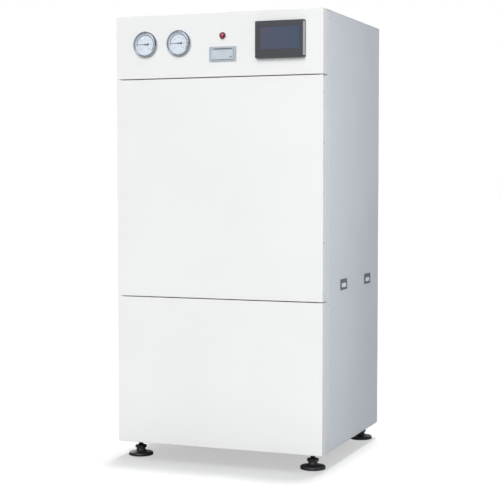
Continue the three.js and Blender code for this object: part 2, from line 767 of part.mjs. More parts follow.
function safetyValve() {
  const low = CHAMBER_Z + CAVITY / 2 + VESSEL_WALL + 0.5;
  const profile = [
    [0, low],
    [14, low],
    [14, low + 30],
    [22, low + 32],
    [22, low + 58],
    [15, low + 62],
    [15, low + 130],
    [9, low + 136],
    [9, low + 150],
    [0, low + 150],
  ];
  const valve = join(
    turned("z", profile, 16),
    rod("x", 12, 10, 58, 0, low + 45, 12),
    box(-4, 46, -5, 5, low + 140, low + 146),
  );
  place("safety_valve", valve, BRASS, groupAt(60, 530, 0));
}

function airFilter() {
  const profile = [
    [0, 1520],
    [10, 1520],
    [10, 1545],
    [45, 1552],
    [45, 1690],
    [36, 1700],
    [12, 1702],
    [12, 1722],
    [0, 1722],
  ];
  place("air_filter", turned("z", profile), PALE_PLASTIC, groupAt(300, 600, 0));
}

// ---------------------------------------------------------------- controls on the fascia
function gauges() {
  const names = ["left", "right"];
  const [barrel, bore] = [49.5, 47.5];
  const disc = bore - 0.5;
  GAUGE_X.forEach((x, index) => {
    const spot = groupAt(x, 0, CONTROL_Z);
    const caseProfile = [
      [0, 54],
      [7, 54],
      [7, 46],
      [barrel, 46],
      [barrel, -CONTACT],
      [GAUGE_RADIUS, -CONTACT],
      [GAUGE_RADIUS, -11],
      [GAUGE_RADIUS - 2, -15],
      [48, -15],
      [bore, -14],
      [bore, 43],
      [0, 43],
    ];
    const shape = turned("y", caseProfile, 36);
    place(`gauge_case_${names[index]}`, shape, BRIGHT_STEEL, spot);
    const dial = cut(rod("y", disc, -4, -3, 0, 0, 36), rod("y", 3.4, -5, -2, 0, 0, 12));
    place(`gauge_dial_${names[index]}`, dial, DIAL_FACE, spot);
    const pointer = join(
      rod("y", 6, -8, -6, 0, 0, 16),
      rod("y", 2.8, -7, 6, 0, 0, 12),
      box(-38, 14, -7.5, -6.5, -1, 1),
    );
    place(`gauge_needle_${names[index]}`, pointer, BLACK_PLASTIC, spot);
    place(`gauge_lens_${names[index]}`, rod("y", disc, -13, -11, 0, 0, 36), CLEAR_GLASS, spot);
  });
}

function touchScreen() {
  const spot = groupAt(SCREEN.x, 0, CONTROL_Z);
  const [x, z] = [SCREEN.width / 2, SCREEN.height / 2];
  const window = { x: 86, low: -41, high: 52 };
  const bevel = { wide: 7, deep: 13, past: 1 };
  const slope = bevel.deep / bevel.wide;
  const outside = new THREE.Shape([
    new THREE.Vector2(x - bevel.wide - bevel.past / slope, -FRONT_PROUD - bevel.past),
    new THREE.Vector2(x + bevel.past, -FRONT_PROUD - bevel.past),
    new THREE.Vector2(x + bevel.past, -FRONT_PROUD + bevel.deep + bevel.past * slope),
  ]);
  const rightBevel = new THREE.ExtrudeGeometry(outside, { depth: 2 * z + 2, bevelEnabled: false });
  const housing = cut(
    join(
      roundedPlate(-x, x, -FRONT_PROUD, -CONTACT, -z, z, 5),
      box(-x + 7, x - 7, -1, 42, -z + 7, z - 7),
    ),
    box(-window.x, window.x, -FRONT_PROUD - 1, -FRONT_PROUD + 3, window.low, window.high),
    solid(rightBevel.translate(0, 0, -z - 1)),
  );
  place("touchscreen_housing", housing, SMOKE_PLASTIC, spot);
  const glass = box(
    -window.x + CONTACT,
    window.x - CONTACT,
    -FRONT_PROUD + 0.6,
    -FRONT_PROUD + 3 - CONTACT,
    window.low + CONTACT,
    window.high - CONTACT,
  );
  place("touchscreen_glass", glass, SCREEN_GLASS, spot);
}

function powerButton() {
  const spot = groupAt(BUTTON.x, 0, BUTTON.z);
  const stem = 8.8;
  const bezel = [
    [0, 34],
    [BUTTON.barrel, 34],
    [BUTTON.barrel, -CONTACT],
    [BUTTON.rim, -CONTACT],
    [BUTTON.rim, -3],
    [BUTTON.rim - 1, -4],
    [BUTTON.cap + 0.6, -4],
    [BUTTON.cap + 0.6, -1.5],
    [stem + 0.6, -1.5],
    [stem + 0.6, 12],
    [0, 12],
  ];
  place("button_bezel", turned("y", bezel), BRIGHT_STEEL, spot);
  const cap = [
    [0, 7],
    [stem, 7],
    [stem, -6],
    [BUTTON.cap, -6],
    [BUTTON.cap, -8],
    [9.5, -10.5],
    [5, -12],
    [0, -12.5],
  ];
  place("button_cap", turned("y", cap), RED_LENS, spot);
}

function printer() {
  const spot = groupAt(PRINTER.x, 0, PRINTER.z);
  const [x, z] = [PRINTER.width / 2, PRINTER.height / 2];
  const lidHalf = 48;
  const pocketHalf = lidHalf + 0.6;
  const rollAt = [22, -3]; // y and z of the paper roll's axis
  const body = cut(
    join(
      roundedPlate(-x, x, -4, -CONTACT, -z, z, 3),
      box(-52, 52, -1, 52, -26, 26),
    ),
    box(-pocketHalf, pocketHalf, -5, 46, -24.6, 17),
    box(-42, 42, -5, 30, 20, 23),
    box(-42, 42, 24, 30, 16, 22),
  );
  const pins = join(
    rod("x", 5, -pocketHalf - 0.4, -24, ...rollAt, 16),
    rod("x", 5, 24, pocketHalf + 0.4, ...rollAt, 16),
  );
  place("printer_housing", join(body, pins), PALE_PLASTIC, spot);
  const lid = cut(
    join(
      box(-lidHalf, lidHalf, -6, -2, -20, 16.4),
      rod("x", 3, -lidHalf, lidHalf, -3, -20.6, 16),
    ),
    rod("y", 3.2, -9, 2, FEED_KEY.x, FEED_KEY.z, 16),
  );
  place("printer_lid", lid, PALE_PLASTIC, spot);
  const key = join(
    rod("y", 2.6, -7.5, -1, FEED_KEY.x, FEED_KEY.z, 16),
    rod("y", 4.4, -1.6, -0.6, FEED_KEY.x, FEED_KEY.z, 16),
  );
  place("printer_feed_button", key, SMOKE_PLASTIC, spot);
  const rollHalf = 29;
  const roll = cut(
    rod("x", 17, -rollHalf, rollHalf, ...rollAt, 28),
    rod("x", 5.6, -rollHalf - PAST, rollHalf + PAST, ...rollAt, 16),
  );
  place("paper_roll", roll, PAPER, spot);
}

// ---------------------------------------------------------------- latches of the right side panel
// Built facing +X: local x is outward, local y runs back and local z is up.
function sideLatches() {
  const { z: height, body, bodyLow, bodyHigh, pivotX, pivotZ } = LATCH;
  const [y, z] = [LATCH.width / 2, LATCH.height / 2];
  const pocket = { y0: -30, y1: 36, z0: -15.5, z1: 8 };
  const paddleEnds = [-27, 33];
  const pin = (y0, y1) => rod("y", 1.6, y0, y1, pivotX, pivotZ, 12);
  const dish = cut(
    join(
      box(CONTACT, 2.4, -y, y, -z, z),
      box(-16, 1, -body, body, bodyLow, bodyHigh),
    ),
    box(-14, 3, pocket.y0, pocket.y1, pocket.z0, pocket.z1),
  );
  const pins = join(pin(pocket.y0 - 1, pocket.y0 + 7), pin(pocket.y1 - 7, pocket.y1 + 1));
  const paddle = cut(
    join(
      box(-1.5, 1.5, ...paddleEnds, -13, pivotZ),
      rod("y", 2.6, ...paddleEnds, pivotX, pivotZ, 16),
    ),
    rod("y", 1.95, paddleEnds[0] - 1, paddleEnds[1] + 1, pivotX, pivotZ, 12),
  );
  const rows = [["front", LATCH.ys[0]], ["rear", LATCH.ys[1]]];
  for (const [row, centre] of rows) {
    const spot = groupAt(HALF, centre, height);
    place(`latch_bezel_${row}`, join(dish, pins), DARK_METAL, spot);
    place(`latch_paddle_${row}`, paddle, BRIGHT_STEEL, spot);
  }
}

baseFrame();
frames();
feet();
controlFascia();
lowerFrontPanel();
sidePanels();
topCover();
backPanel();
serviceConnectors();
frontCover();
innerFacade();
chamber();
pressureDoor();
doorDrive();
steamGenerator();
vacuumPump();
electricalBox();
safetyValve();
airFilter();
gauges();
touchScreen();
powerButton();
printer();
sideLatches();

export default part;
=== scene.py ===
"""Looks of the cabinet steam steriliser: finishes, sheet metal, controls, feet, studio and camera."""

import json
import math

import bmesh
import bpy
from mathutils import Matrix, Vector


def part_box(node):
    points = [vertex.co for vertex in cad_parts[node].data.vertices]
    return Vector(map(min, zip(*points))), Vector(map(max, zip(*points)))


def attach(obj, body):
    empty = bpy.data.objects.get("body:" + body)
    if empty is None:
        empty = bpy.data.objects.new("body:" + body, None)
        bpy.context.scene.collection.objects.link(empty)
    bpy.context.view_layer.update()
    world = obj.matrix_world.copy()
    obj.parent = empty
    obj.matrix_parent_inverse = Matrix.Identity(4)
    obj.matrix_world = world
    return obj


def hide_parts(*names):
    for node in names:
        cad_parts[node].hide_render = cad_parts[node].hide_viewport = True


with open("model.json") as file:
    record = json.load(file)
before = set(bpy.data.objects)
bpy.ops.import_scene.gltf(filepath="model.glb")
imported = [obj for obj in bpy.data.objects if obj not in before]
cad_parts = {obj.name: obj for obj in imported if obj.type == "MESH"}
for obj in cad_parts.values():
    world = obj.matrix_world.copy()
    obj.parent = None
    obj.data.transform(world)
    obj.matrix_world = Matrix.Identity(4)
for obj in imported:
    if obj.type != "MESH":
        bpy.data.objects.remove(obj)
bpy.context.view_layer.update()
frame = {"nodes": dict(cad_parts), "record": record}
NODES = frame["nodes"]
BODY_OF = {n: body for body, members in frame["record"]["behaviour"]["bodies"].items() for n in members}
SLOT_OF = {p["node"]: p["material_slot"] for p in frame["record"]["subparts"]}

MM = 0.001
X_AXIS, Y_AXIS, Z_AXIS = Vector((1, 0, 0)), Vector((0, 1, 0)), Vector((0, 0, 1))

# Studio: the floor's colour and glow, and the light that the surroundings give towards each side.
FLOOR_SEEN, FLOOR_BOUNCE = 0.42, 0.38
FLOOR_GLOW = 0.50
SURROUND_TINT = (0.93, 0.965, 1.0)
SURROUND_LEFT, SURROUND_MIDDLE, SURROUND_RIGHT = 0.06, 0.52, 0.16
# What bright surfaces mirror from behind the cabinet.
BEHIND = 0.9
# Name, heading, angular size in degrees and strength.
SUNS = [
    ("overhead", (0, -0.11, -1), 6.0, 2.9),
    ("front_softbox", (0, 1, -0.62), 50.0, 2.50),
    ("rear_softbox", (0.75, -0.75, -0.40), 50.0, 1.0),
]
SIDE_LAMP = {"place": (1.30, -0.55, 1.20), "size": (0.2, 2.6), "watts": 5.3, "color": (0.95, 0.98, 1.0)}
# The slanted right edge of the touch screen's housing.
BEVEL_WIDE, BEVEL_DEEP = 7 * MM, 13 * MM
CAMERA_PLACE = (2.157, -5.608, 1.2227)
CAMERA_YAW, CAMERA_PITCH, CAMERA_LENS = -21.2023, -3.078, 95.32


# ---------------------------------------------------------------- node materials
class Shader:
    """A material of procedural nodes round one Principled shader."""

    def __init__(self, name, color, roughness, metallic=0.0, **sockets):
        self.material = bpy.data.materials.new(name)
        self.material.use_nodes = True
        self.tree = self.material.node_tree
        self.bsdf = self.tree.nodes["Principled BSDF"]
        self.color = color
        self.bsdf.inputs["Base Color"].default_value = (*color, 1)
        self.bsdf.inputs["Roughness"].default_value = roughness
        self.bsdf.inputs["Metallic"].default_value = metallic
        for socket, value in sockets.items():
            self.bsdf.inputs[socket.replace("_", " ")].default_value = value
        self.coords = self.tree.nodes.new("ShaderNodeTexCoord").outputs["Object"]
        self.last_bump = None

    def link(self, a, b):
        self.tree.links.new(a, b)

    def noise(self, scale, detail=3.0, roughness=0.5, stretch=(1, 1, 1)):
        mapping = self.tree.nodes.new("ShaderNodeMapping")
        mapping.inputs["Scale"].default_value = stretch
        texture = self.tree.nodes.new("ShaderNodeTexNoise")
        texture.inputs["Scale"].default_value = scale
        texture.inputs["Detail"].default_value = detail
        texture.inputs["Roughness"].default_value = roughness
        self.link(self.coords, mapping.inputs["Vector"])
        self.link(mapping.outputs["Vector"], texture.inputs["Vector"])
        return texture.outputs["Fac"]

    def ramp(self, factor, low, high, start=0.35, stop=0.65):
        """A colour ramp from low to high between two values of the factor."""
        node = self.tree.nodes.new("ShaderNodeValToRGB")
        node.color_ramp.elements[0].position = start
        node.color_ramp.elements[1].position = stop
        node.color_ramp.elements[0].color = (*low, 1)
        node.color_ramp.elements[1].color = (*high, 1)
        self.link(factor, node.inputs["Fac"])
        return node.outputs["Color"]

    def vary_color(self, factor, spread, start=0.35, stop=0.65):
        """Colour varies by a share of itself either way."""
        low = [c * (1 - spread) for c in self.color]
        high = [min(1.0, c * (1 + spread)) for c in self.color]
        self.link(self.ramp(factor, low, high, start, stop), self.bsdf.inputs["Base Color"])
        return self

    def vary_roughness(self, factor, low, high):
        node = self.tree.nodes.new("ShaderNodeMapRange")
        node.inputs["From Min"].default_value = 0.3
        node.inputs["From Max"].default_value = 0.7
        node.inputs["To Min"].default_value = low
        node.inputs["To Max"].default_value = high
        self.link(factor, node.inputs["Value"])
        self.link(node.outputs["Result"], self.bsdf.inputs["Roughness"])
        return self

    def bump(self, factor, strength, depth):
        node = self.tree.nodes.new("ShaderNodeBump")
        node.inputs["Strength"].default_value = strength
        node.inputs["Distance"].default_value = depth
        self.link(factor, node.inputs["Height"])
        if self.last_bump is not None:
            self.link(self.last_bump, node.inputs["Normal"])
        self.last_bump = node.outputs["Normal"]
        self.link(self.last_bump, self.bsdf.inputs["Normal"])
        return self


def powder_coat(name, color, roughness):
    """Sprayed and baked paint: a fine orange peel, faint cloudiness and a thin gloss."""
    s = Shader(name, color, roughness, Coat_Weight=0.12, Coat_Roughness=0.25)
    s.vary_color(s.noise(2.2, 4.0), 0.012)
    s.vary_roughness(s.noise(7.0, 5.0), roughness - 0.05, roughness + 0.06)
    s.bump(s.noise(620.0, 2.0), 0.10, 0.0004)
    s.bump(s.noise(2600.0, 1.0), 0.05, 0.0001)
    return s.material


def brushed(name, color, along, roughness):
    """Brushed stainless steel: fine scratches that run along one axis."""
    stretch = [160.0 if axis != along else 2.5 for axis in "xyz"]
    s = Shader(name, color, roughness, 1.0, Anisotropic=0.45)
    scratches = s.noise(6.0, 5.0, 0.65, stretch)
    s.vary_roughness(scratches, roughness - 0.08, roughness + 0.12)
    s.vary_color(s.noise(3.0, 4.0), 0.05)
    s.bump(scratches, 0.12, 0.00012)
    return s.material


def polished(name, color, roughness):
    """Turned or plated bright metal with faint handling marks."""
    s = Shader(name, color, roughness, 1.0)
    s.vary_roughness(s.noise(90.0, 6.0, 0.7), roughness * 0.6, roughness * 1.9)
    s.bump(s.noise(45.0, 2.0), 0.02, 0.0003)
    return s.material


def moulded(name, color, roughness):
    """Moulded plastic with a spark-eroded grain."""
    s = Shader(name, color, roughness)
    s.vary_color(s.noise(30.0, 3.0), 0.04)
    s.vary_roughness(s.noise(160.0, 3.0), roughness - 0.06, roughness + 0.08)
    s.bump(s.noise(1400.0, 2.0), 0.25, 0.00012)
    return s.material


def casting(name, color):
    """Painted casting with a pebbled skin."""
    s = Shader(name, color, 0.5)
    s.vary_color(s.noise(18.0, 4.0), 0.10)
    s.vary_roughness(s.noise(60.0, 4.0), 0.4, 0.62)
    s.bump(s.noise(330.0, 3.0), 0.35, 0.0006)
    return s.material


def rubbery(name, color):
    """Matt rubber with a fine grain."""
    s = Shader(name, color, 0.65)
    s.vary_color(s.noise(40.0, 3.0), 0.08)
    s.bump(s.noise(900.0, 2.0), 0.2, 0.0002)
    return s.material


def papery(name, color):
    """Paper with a soft tooth."""
    s = Shader(name, color, 0.85)
    s.vary_color(s.noise(260.0, 5.0, 0.7), 0.025)
    s.bump(s.noise(1500.0, 4.0), 0.15, 0.00008)
    return s.material


def printed(name, color, roughness=0.6):
    """Screen-printed ink or card: flat with a slight mottle."""
    s = Shader(name, color, roughness)
    s.vary_color(s.noise(520.0, 3.0), 0.03)
    return s.material


def clear_glass(name, tint, alpha):
    """A thin clear lens with a glossy coat."""
    s = Shader(name, tint, 0.04, Alpha=alpha, Coat_Weight=0.6, Coat_Roughness=0.03)
    s.vary_roughness(s.noise(70.0, 5.0), 0.02, 0.07)
    return s.material


def display(name, left, right, low_x, high_x):
    """An unlit display: a smooth film over a blue-grey panel, with a painted reflection that makes it a
    little lighter on the left.
    """
    s = Shader(name, right, 0.14, Specular_IOR_Level=0.3)
    split = s.tree.nodes.new("ShaderNodeSeparateXYZ")
    s.link(s.coords, split.inputs["Vector"])
    # Painted reflection: the panel's colour runs from the left colour to the right colour across its width.
    shade = s.tree.nodes.new("ShaderNodeMapRange")
    shade.inputs["From Min"].default_value = low_x
    shade.inputs["From Max"].default_value = high_x
    s.link(split.outputs["X"], shade.inputs["Value"])
    s.link(s.ramp(shade.outputs["Result"], left, right, 0.0, 1.0), s.bsdf.inputs["Base Color"])
    s.vary_roughness(s.noise(400.0, 2.0), 0.12, 0.18)
    return s.material


def lens_with_painted_highlight(name, edge, core, centre):
    """Translucent red plastic with a painted highlight: pale pink round its middle, deep red towards its
    edge.
    """
    s = Shader(name, edge, 0.18, Coat_Weight=0.7, Coat_Roughness=0.06)
    # Painted highlight: the colour runs from the pale core at the centre out to the deep red edge.
    away = s.tree.nodes.new("ShaderNodeVectorMath")
    away.operation = "DISTANCE"
    away.inputs[1].default_value = centre
    s.link(s.coords, away.inputs[0])
    s.link(s.ramp(away.outputs["Value"], core, edge, 0.002, 0.0075), s.bsdf.inputs["Base Color"])
    s.bump(s.noise(500.0, 2.0), 0.08, 0.0002)
    return s.material


# The middle of the button's lens, where its painted highlight is palest.
BUTTON_CENTRE = (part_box("button_cap")[0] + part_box("button_cap")[1]) / 2
BUTTON_CENTRE.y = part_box("button_cap")[0].y

FINISH = {
    "white_paint": powder_coat("white_powder_coat", (0.80, 0.80, 0.795), 0.40),
    # The same white coat made darker and bluer: the difference from the front's coat is painted shade.
    "grey_paint": powder_coat("white_coat_painted_shade", (0.715, 0.74, 0.80), 0.42),
    # The strip beside the front cover: the white coat made a little darker and bluer, as painted shade.
    "strip_paint": powder_coat("strip_coat_painted_shade", (0.75, 0.77, 0.81), 0.42),
    "stainless": brushed("stainless_upright_grain", (0.60, 0.61, 0.62), "z", 0.32),
    "stainless_level": brushed("stainless_level_grain", (0.62, 0.63, 0.64), "x", 0.28),
    "bright_steel": polished("bright_steel_finish", (0.72, 0.73, 0.74), 0.16),
    "chrome": polished("chrome_finish", (0.82, 0.83, 0.85), 0.07),
    "dark_casting": casting("dark_casting_finish", (0.085, 0.095, 0.11)),
    "blackened_steel": polished("blackened_steel_finish", (0.05, 0.05, 0.055), 0.35),
    "black_nylon": moulded("black_nylon_finish", (0.018, 0.018, 0.02), 0.42),
    "latch_grey": casting("latch_dish_finish", (0.135, 0.14, 0.155)),
    # Near-white paddles: this colour is a painted highlight on them, not their own colour.
    "lever_enamel": moulded("latch_lever_painted_highlight", (0.92, 0.93, 0.95), 0.28),
    "smoke_plastic": moulded("smoke_plastic_finish", (0.034, 0.035, 0.043), 0.44),
    "pale_plastic": moulded("pale_plastic_finish", (0.50, 0.56, 0.61), 0.42),
    "grey_plastic": moulded("grey_plastic_finish", (0.40, 0.44, 0.48), 0.42),
    "lilac_plastic": moulded("lilac_plastic_finish", (0.36, 0.36, 0.41), 0.42),
    "dial_white": printed("dial_card", (0.72, 0.79, 0.86)),
    "dial_ink": printed("dial_ink", (0.02, 0.02, 0.022)),
    "dial_grey": printed("dial_scale_band", (0.10, 0.12, 0.16)),
    "dial_red": printed("dial_red_ink", (0.62, 0.20, 0.24)),
    "gauge_steel": polished("gauge_ring_steel", (0.47, 0.50, 0.56), 0.12),
    "needle_black": printed("needle_paint", (0.012, 0.012, 0.013), 0.4),
    "clear_glass": clear_glass("gauge_glass", (0.9, 0.95, 1.0), 0.10),
    # The touch screen's film; its shift of colour from left to right is a painted reflection.
    "screen_glass": display(
        "display_film_painted_reflection", (0.085, 0.090, 0.130), (0.066, 0.088, 0.135),
        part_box("touchscreen_glass")[0].x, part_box("touchscreen_glass")[1].x,
    ),
    # The lens's pale core is a painted highlight.
    "red_lens": lens_with_painted_highlight("lens_with_painted_highlight", (0.18, 0.006, 0.022), (0.45, 0.085, 0.13), BUTTON_CENTRE),
    "silicone": rubbery("silicone_seal", (0.42, 0.07, 0.035)),
    "black_rubber": rubbery("black_rubber", (0.02, 0.02, 0.02)),
    "paper_white": papery("thermal_paper", (0.82, 0.81, 0.78)),
    "brass": polished("machined_brass", (0.66, 0.47, 0.20), 0.2),
}

for node_name, slot_name in SLOT_OF.items():
    NODES[node_name].data.materials.clear()
    NODES[node_name].data.materials.append(FINISH[slot_name])


# ---------------------------------------------------------------- mesh helpers
# How close a point lies to a plane to count as on it, and the turn that makes an edge sharp.
ON_PLANE = 1e-5
SHARP = math.radians(50.0)


def in_mm(pairs):
    """A profile's millimetres as metres."""
    return [(a * MM, b * MM) for a, b in pairs]


def middle_of(lo, hi, y):
    """The middle of a box's width and height, at the depth y."""
    return Vector(((lo.x + hi.x) / 2, y, (lo.z + hi.z) / 2))


def piece(name, bm, body, finish, replaces=(), smooth=30.0, flat_first=False):
    """Turns a bmesh into a finished piece with smooth shading, a material and a body."""
    bmesh.ops.recalc_face_normals(bm, faces=bm.faces)
    mesh = bpy.data.meshes.new(name)
    bm.to_mesh(mesh)
    bm.free()
    for polygon in mesh.polygons:
        polygon.use_smooth = True
    mesh.set_sharp_from_angle(angle=math.radians(smooth))
    mesh.materials.append(FINISH[finish])
    obj = bpy.data.objects.new(name, mesh)
    bpy.context.scene.collection.objects.link(obj)
    if flat_first:
        weighted = obj.modifiers.new("weighted", "WEIGHTED_NORMAL")
        weighted.keep_sharp = True
        weighted.weight = 100
    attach(obj, body)
    if replaces:
        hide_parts(*replaces)
    return obj


def welded(node_name):
    """A CAD node's mesh with its seams closed and its flat faces whole."""
    bm = bmesh.new()
    bm.from_mesh(NODES[node_name].data)
    bmesh.ops.remove_doubles(bm, verts=bm.verts, dist=1e-6)
    bmesh.ops.dissolve_limit(bm, angle_limit=math.radians(0.5), verts=bm.verts, edges=bm.edges)
    return bm


def planes_of(vertex, lo, hi):
    """The sides of the box that a vertex lies on, such as "x0" or "z1"."""
    found = set()
    for axis, name in enumerate("xyz"):
        if abs(vertex.co[axis] - lo[axis]) < ON_PLANE:
            found.add(name + "0")
        if abs(vertex.co[axis] - hi[axis]) < ON_PLANE:
            found.add(name + "1")
    return found


def rounded(bm, edges, radius, segments, profile=0.5):
    """Rounds the edges in place."""
    bmesh.ops.bevel(
        bm, geom=edges, offset=radius, segments=segments, profile=profile, affect="EDGES", clamp_overlap=True
    )
    return bm


def round_box_edges(bm, lo, hi, radius, skip=()):
    """Rounds the edges that lie along the edges of a box, apart from those on skipped sides."""
    chosen = []
    for edge in bm.edges:
        shared = planes_of(edge.verts[0], lo, hi) & planes_of(edge.verts[1], lo, hi)
        if len(shared) >= 2 and not shared & set(skip):
            chosen.append(edge)
    return rounded(bm, chosen, radius, 3)


def round_sharp_edges(bm, radius, segments=2):
    """Rounds every edge at which two faces turn by more than SHARP."""
    sharp = [e for e in bm.edges if len(e.link_faces) == 2 and e.calc_face_angle(0) > SHARP]
    return rounded(bm, sharp, radius, segments)


def sheet_metal(node_name, name, radius, skip=(), finish=None):
    """A CAD sheet-metal node with its folded outer edges rounded."""
    lo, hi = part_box(node_name)
    bm = round_box_edges(welded(node_name), lo, hi, radius, skip)
    slot = SLOT_OF[node_name]
    return piece(name, bm, BODY_OF[node_name], finish or slot, (node_name,), flat_first=True)


def softened(node_name, name, radius, finish=None, segments=2):
    """A CAD node with every sharp edge rounded a little."""
    bm = round_sharp_edges(welded(node_name), radius, segments)
    slot = SLOT_OF[node_name]
    return piece(name, bm, BODY_OF[node_name], finish or slot, (node_name,), flat_first=True)


def rounded_box(bm, lo, hi, radius, segments=3):
    """Adds a box from its lowest to its highest corner, with all of its edges rounded."""
    lo, hi = Vector(lo), Vector(hi)
    part_bm = bmesh.new()
    for v in bmesh.ops.create_cube(part_bm, size=1.0)["verts"]:
        v.co = Vector([(lo[i] + hi[i]) / 2 + v.co[i] * (hi[i] - lo[i]) for i in range(3)])
    bmesh.ops.bevel(
        part_bm, geom=part_bm.edges[:], offset=radius, segments=segments, profile=0.5, affect="EDGES"
    )
    absorb(bm, part_bm)


def absorb(bm, other, matrix=None):
    """Adds another bmesh's geometry and frees it."""
    if matrix is not None:
        other.transform(matrix)
    mesh = bpy.data.meshes.new("temporary")
    other.to_mesh(mesh)
    other.free()
    bm.from_mesh(mesh)
    bpy.data.meshes.remove(mesh)


def axis_matrix(axis, origin):
    """Takes local +Z to the axis, with its origin moved."""
    turn = Vector(axis).to_track_quat("Z", "Y" if abs(Vector(axis).z) < 0.9 else "X")
    return Matrix.Translation(Vector(origin)) @ turn.to_matrix().to_4x4()


def add_lathe(bm, profile, matrix, sides=64, radius_at=None):
    """Turns [radius, height] pairs about local Z. radius_at(angle, radius, height) can shape the radius."""
    part_bm = bmesh.new()
    rings = []
    for radius, height in profile:
        if radius < 1e-7:
            rings.append([part_bm.verts.new((0, 0, height))])
            continue
        ring = []
        for k in range(sides):
            a = 2 * math.pi * k / sides
            r = radius_at(a, radius, height) if radius_at else radius
            ring.append(part_bm.verts.new((r * math.cos(a), r * math.sin(a), height)))
        rings.append(ring)
    closed = len(rings[0]) > 1 or len(rings[-1]) > 1
    pairs = list(zip(rings, rings[1:])) + ([(rings[-1], rings[0])] if closed else [])
    for a, b in pairs:
        for k in range(sides):
            n = (k + 1) % sides
            if len(a) == 1 and len(b) == 1:
                continue
            if len(a) == 1:
                part_bm.faces.new((a[0], b[n], b[k]))
            elif len(b) == 1:
                part_bm.faces.new((a[k], a[n], b[0]))
            else:
                part_bm.faces.new((a[k], a[n], b[n], b[k]))
    absorb(bm, part_bm, matrix)


def lathe_piece(name, profile, axis, origin, body, finish, sides, replaces, smooth=28.0):
    """A turned piece of its own."""
    bm = bmesh.new()
    add_lathe(bm, profile, axis_matrix(axis, origin), sides)
    return piece(name, bm, body, finish, replaces, smooth)


def hexagon_radius(across, angle):
    """Distance from a hexagon's centre to its side, for its size across the flats."""
    sector = math.pi / 3
    return across / 2 / math.cos((angle % sector) - sector / 2)


def add_screw(bm, origin, axis, radius, height):
    """A low button-head screw with a hexagon socket."""
    socket = radius * 0.5

    def shaped(angle, r, z):
        return hexagon_radius(socket * 2, angle) if abs(r - socket) < 1e-9 else r

    profile = [
        (0, height * 0.35),
        (socket, height * 0.35),
        (socket, height * 0.96),
        (radius * 0.72, height),
        (radius * 0.93, height * 0.7),
        (radius, height * 0.2),
        (radius, 0),
        (0, 0),
    ]
    add_lathe(bm, profile, axis_matrix(axis, origin), 24, shaped)


def screws(name, points, axis, radius, height, body):
    """One piece that holds a screw at each point."""
    bm = bmesh.new()
    for point in points:
        add_screw(bm, point, axis, radius, height)
    return piece(name, bm, body, "bright_steel")


# ---------------------------------------------------------------- sheet metal of the cabinet
def cabinet_skins():
    """The painted sheet metal, each piece with its folds rounded where they show."""
    sheet_metal("front_door_panel", "front_cover_skin", 2.2 * MM, ("y1",))
    sheet_metal("lower_front_panel", "lower_panel_skin", 2.2 * MM, ("y1",))
    sheet_metal("control_fascia", "fascia_skin", 2.2 * MM, ("y1",))
    # The side panels take the darker, bluer copy of the white coat, as painted shade.
    sheet_metal("side_panel_right", "side_skin_right", 1.8 * MM, ("x0",))
    sheet_metal("side_panel_left", "side_skin_left", 1.8 * MM, ("x1",))
    sheet_metal("top_cover", "top_skin", 1.6 * MM, ("z0",))
    # The strip's coat is darker and bluer than the front's: painted shade.
    sheet_metal("front_frame", "front_frame_skin", 2.0 * MM, ("y1",), "strip_paint")
    sheet_metal("base_frame", "base_tray_skin", 2.0 * MM, ("z1",))
    softened("back_panel", "back_skin", 0.6 * MM)


def cover_screws():
    """The small screws down both folded edges of the front cover and down the strip beside it."""
    lo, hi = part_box("front_door_panel")
    heights = [1.642, 1.584, 1.370, 1.164, 0.959, 0.749]
    depth = lo.y + 9 * MM
    points = [(hi.x, depth, z) for z in heights]
    screws("cover_edge_screws", points, X_AXIS, 3.6 * MM, 1.2 * MM, "front_cover")
    left = [(lo.x + 1.2 * MM, depth, z) for z in heights]
    screws("cover_edge_screws_left", left, -X_AXIS, 3.6 * MM, 1.2 * MM, "front_cover")
    frame_lo, frame_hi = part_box("front_frame")
    middle = (frame_lo.y + frame_hi.y) / 2
    strip = [(frame_hi.x, middle, z) for z in (1.885, 1.638, 0.700, 0.160)]
    screws("strip_screws", strip, X_AXIS, 3.2 * MM, 1.0 * MM, "cabinet")


def back_details():
    """Pressed hoods over the back panel's slots, and the screws round its edge."""
    lo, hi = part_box("back_panel")
    bm = bmesh.new()
    slot_pitch, above, beside = 0.040, 12 * MM, 3 * MM
    for z0 in (0.560, 1.500):
        for row in range(5):
            for x0, x1 in ((-0.330, -0.130), (0.130, 0.330)):
                add_hood(bm, x0 - beside, x1 + beside, hi.y, z0 + row * slot_pitch + above)
    piece("back_louvre_hoods", bm, "cabinet", "grey_paint", smooth=40)
    edge, end, gaps = 16 * MM, 20 * MM, 6
    points = []
    for k in range(gaps + 1):
        z = lo.z + end + k * (hi.z - lo.z - 2 * end) / gaps
        points += [(lo.x + edge, hi.y, z), (hi.x - edge, hi.y, z)]
    for x in (-0.30, -0.10, 0.10, 0.30):
        points += [(x, hi.y, lo.z + edge), (x, hi.y, hi.z - edge)]
    screws("back_panel_screws", points, Y_AXIS, 4.2 * MM, 2.0 * MM, "cabinet")
    head = 1.6 * MM
    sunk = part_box("top_cover")[1].z - head
    spots = [(x, y, sunk) for x in (-0.44, 0.44) for y in (-0.35, 0.0, 0.38)]
    screws("top_cover_screws", spots, Z_AXIS, 4.2 * MM, head, "cabinet")
    plate_lo, plate_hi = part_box("service_connectors")
    face = hi.y + 3.4 * MM
    inset = 12 * MM
    corners = [(x, face, z) for x in (plate_lo.x + inset, plate_hi.x - inset) for z in (0.252, 0.338)]
    screws("connector_plate_screws", corners, Y_AXIS, 4.2 * MM, 2.0 * MM, "cabinet")


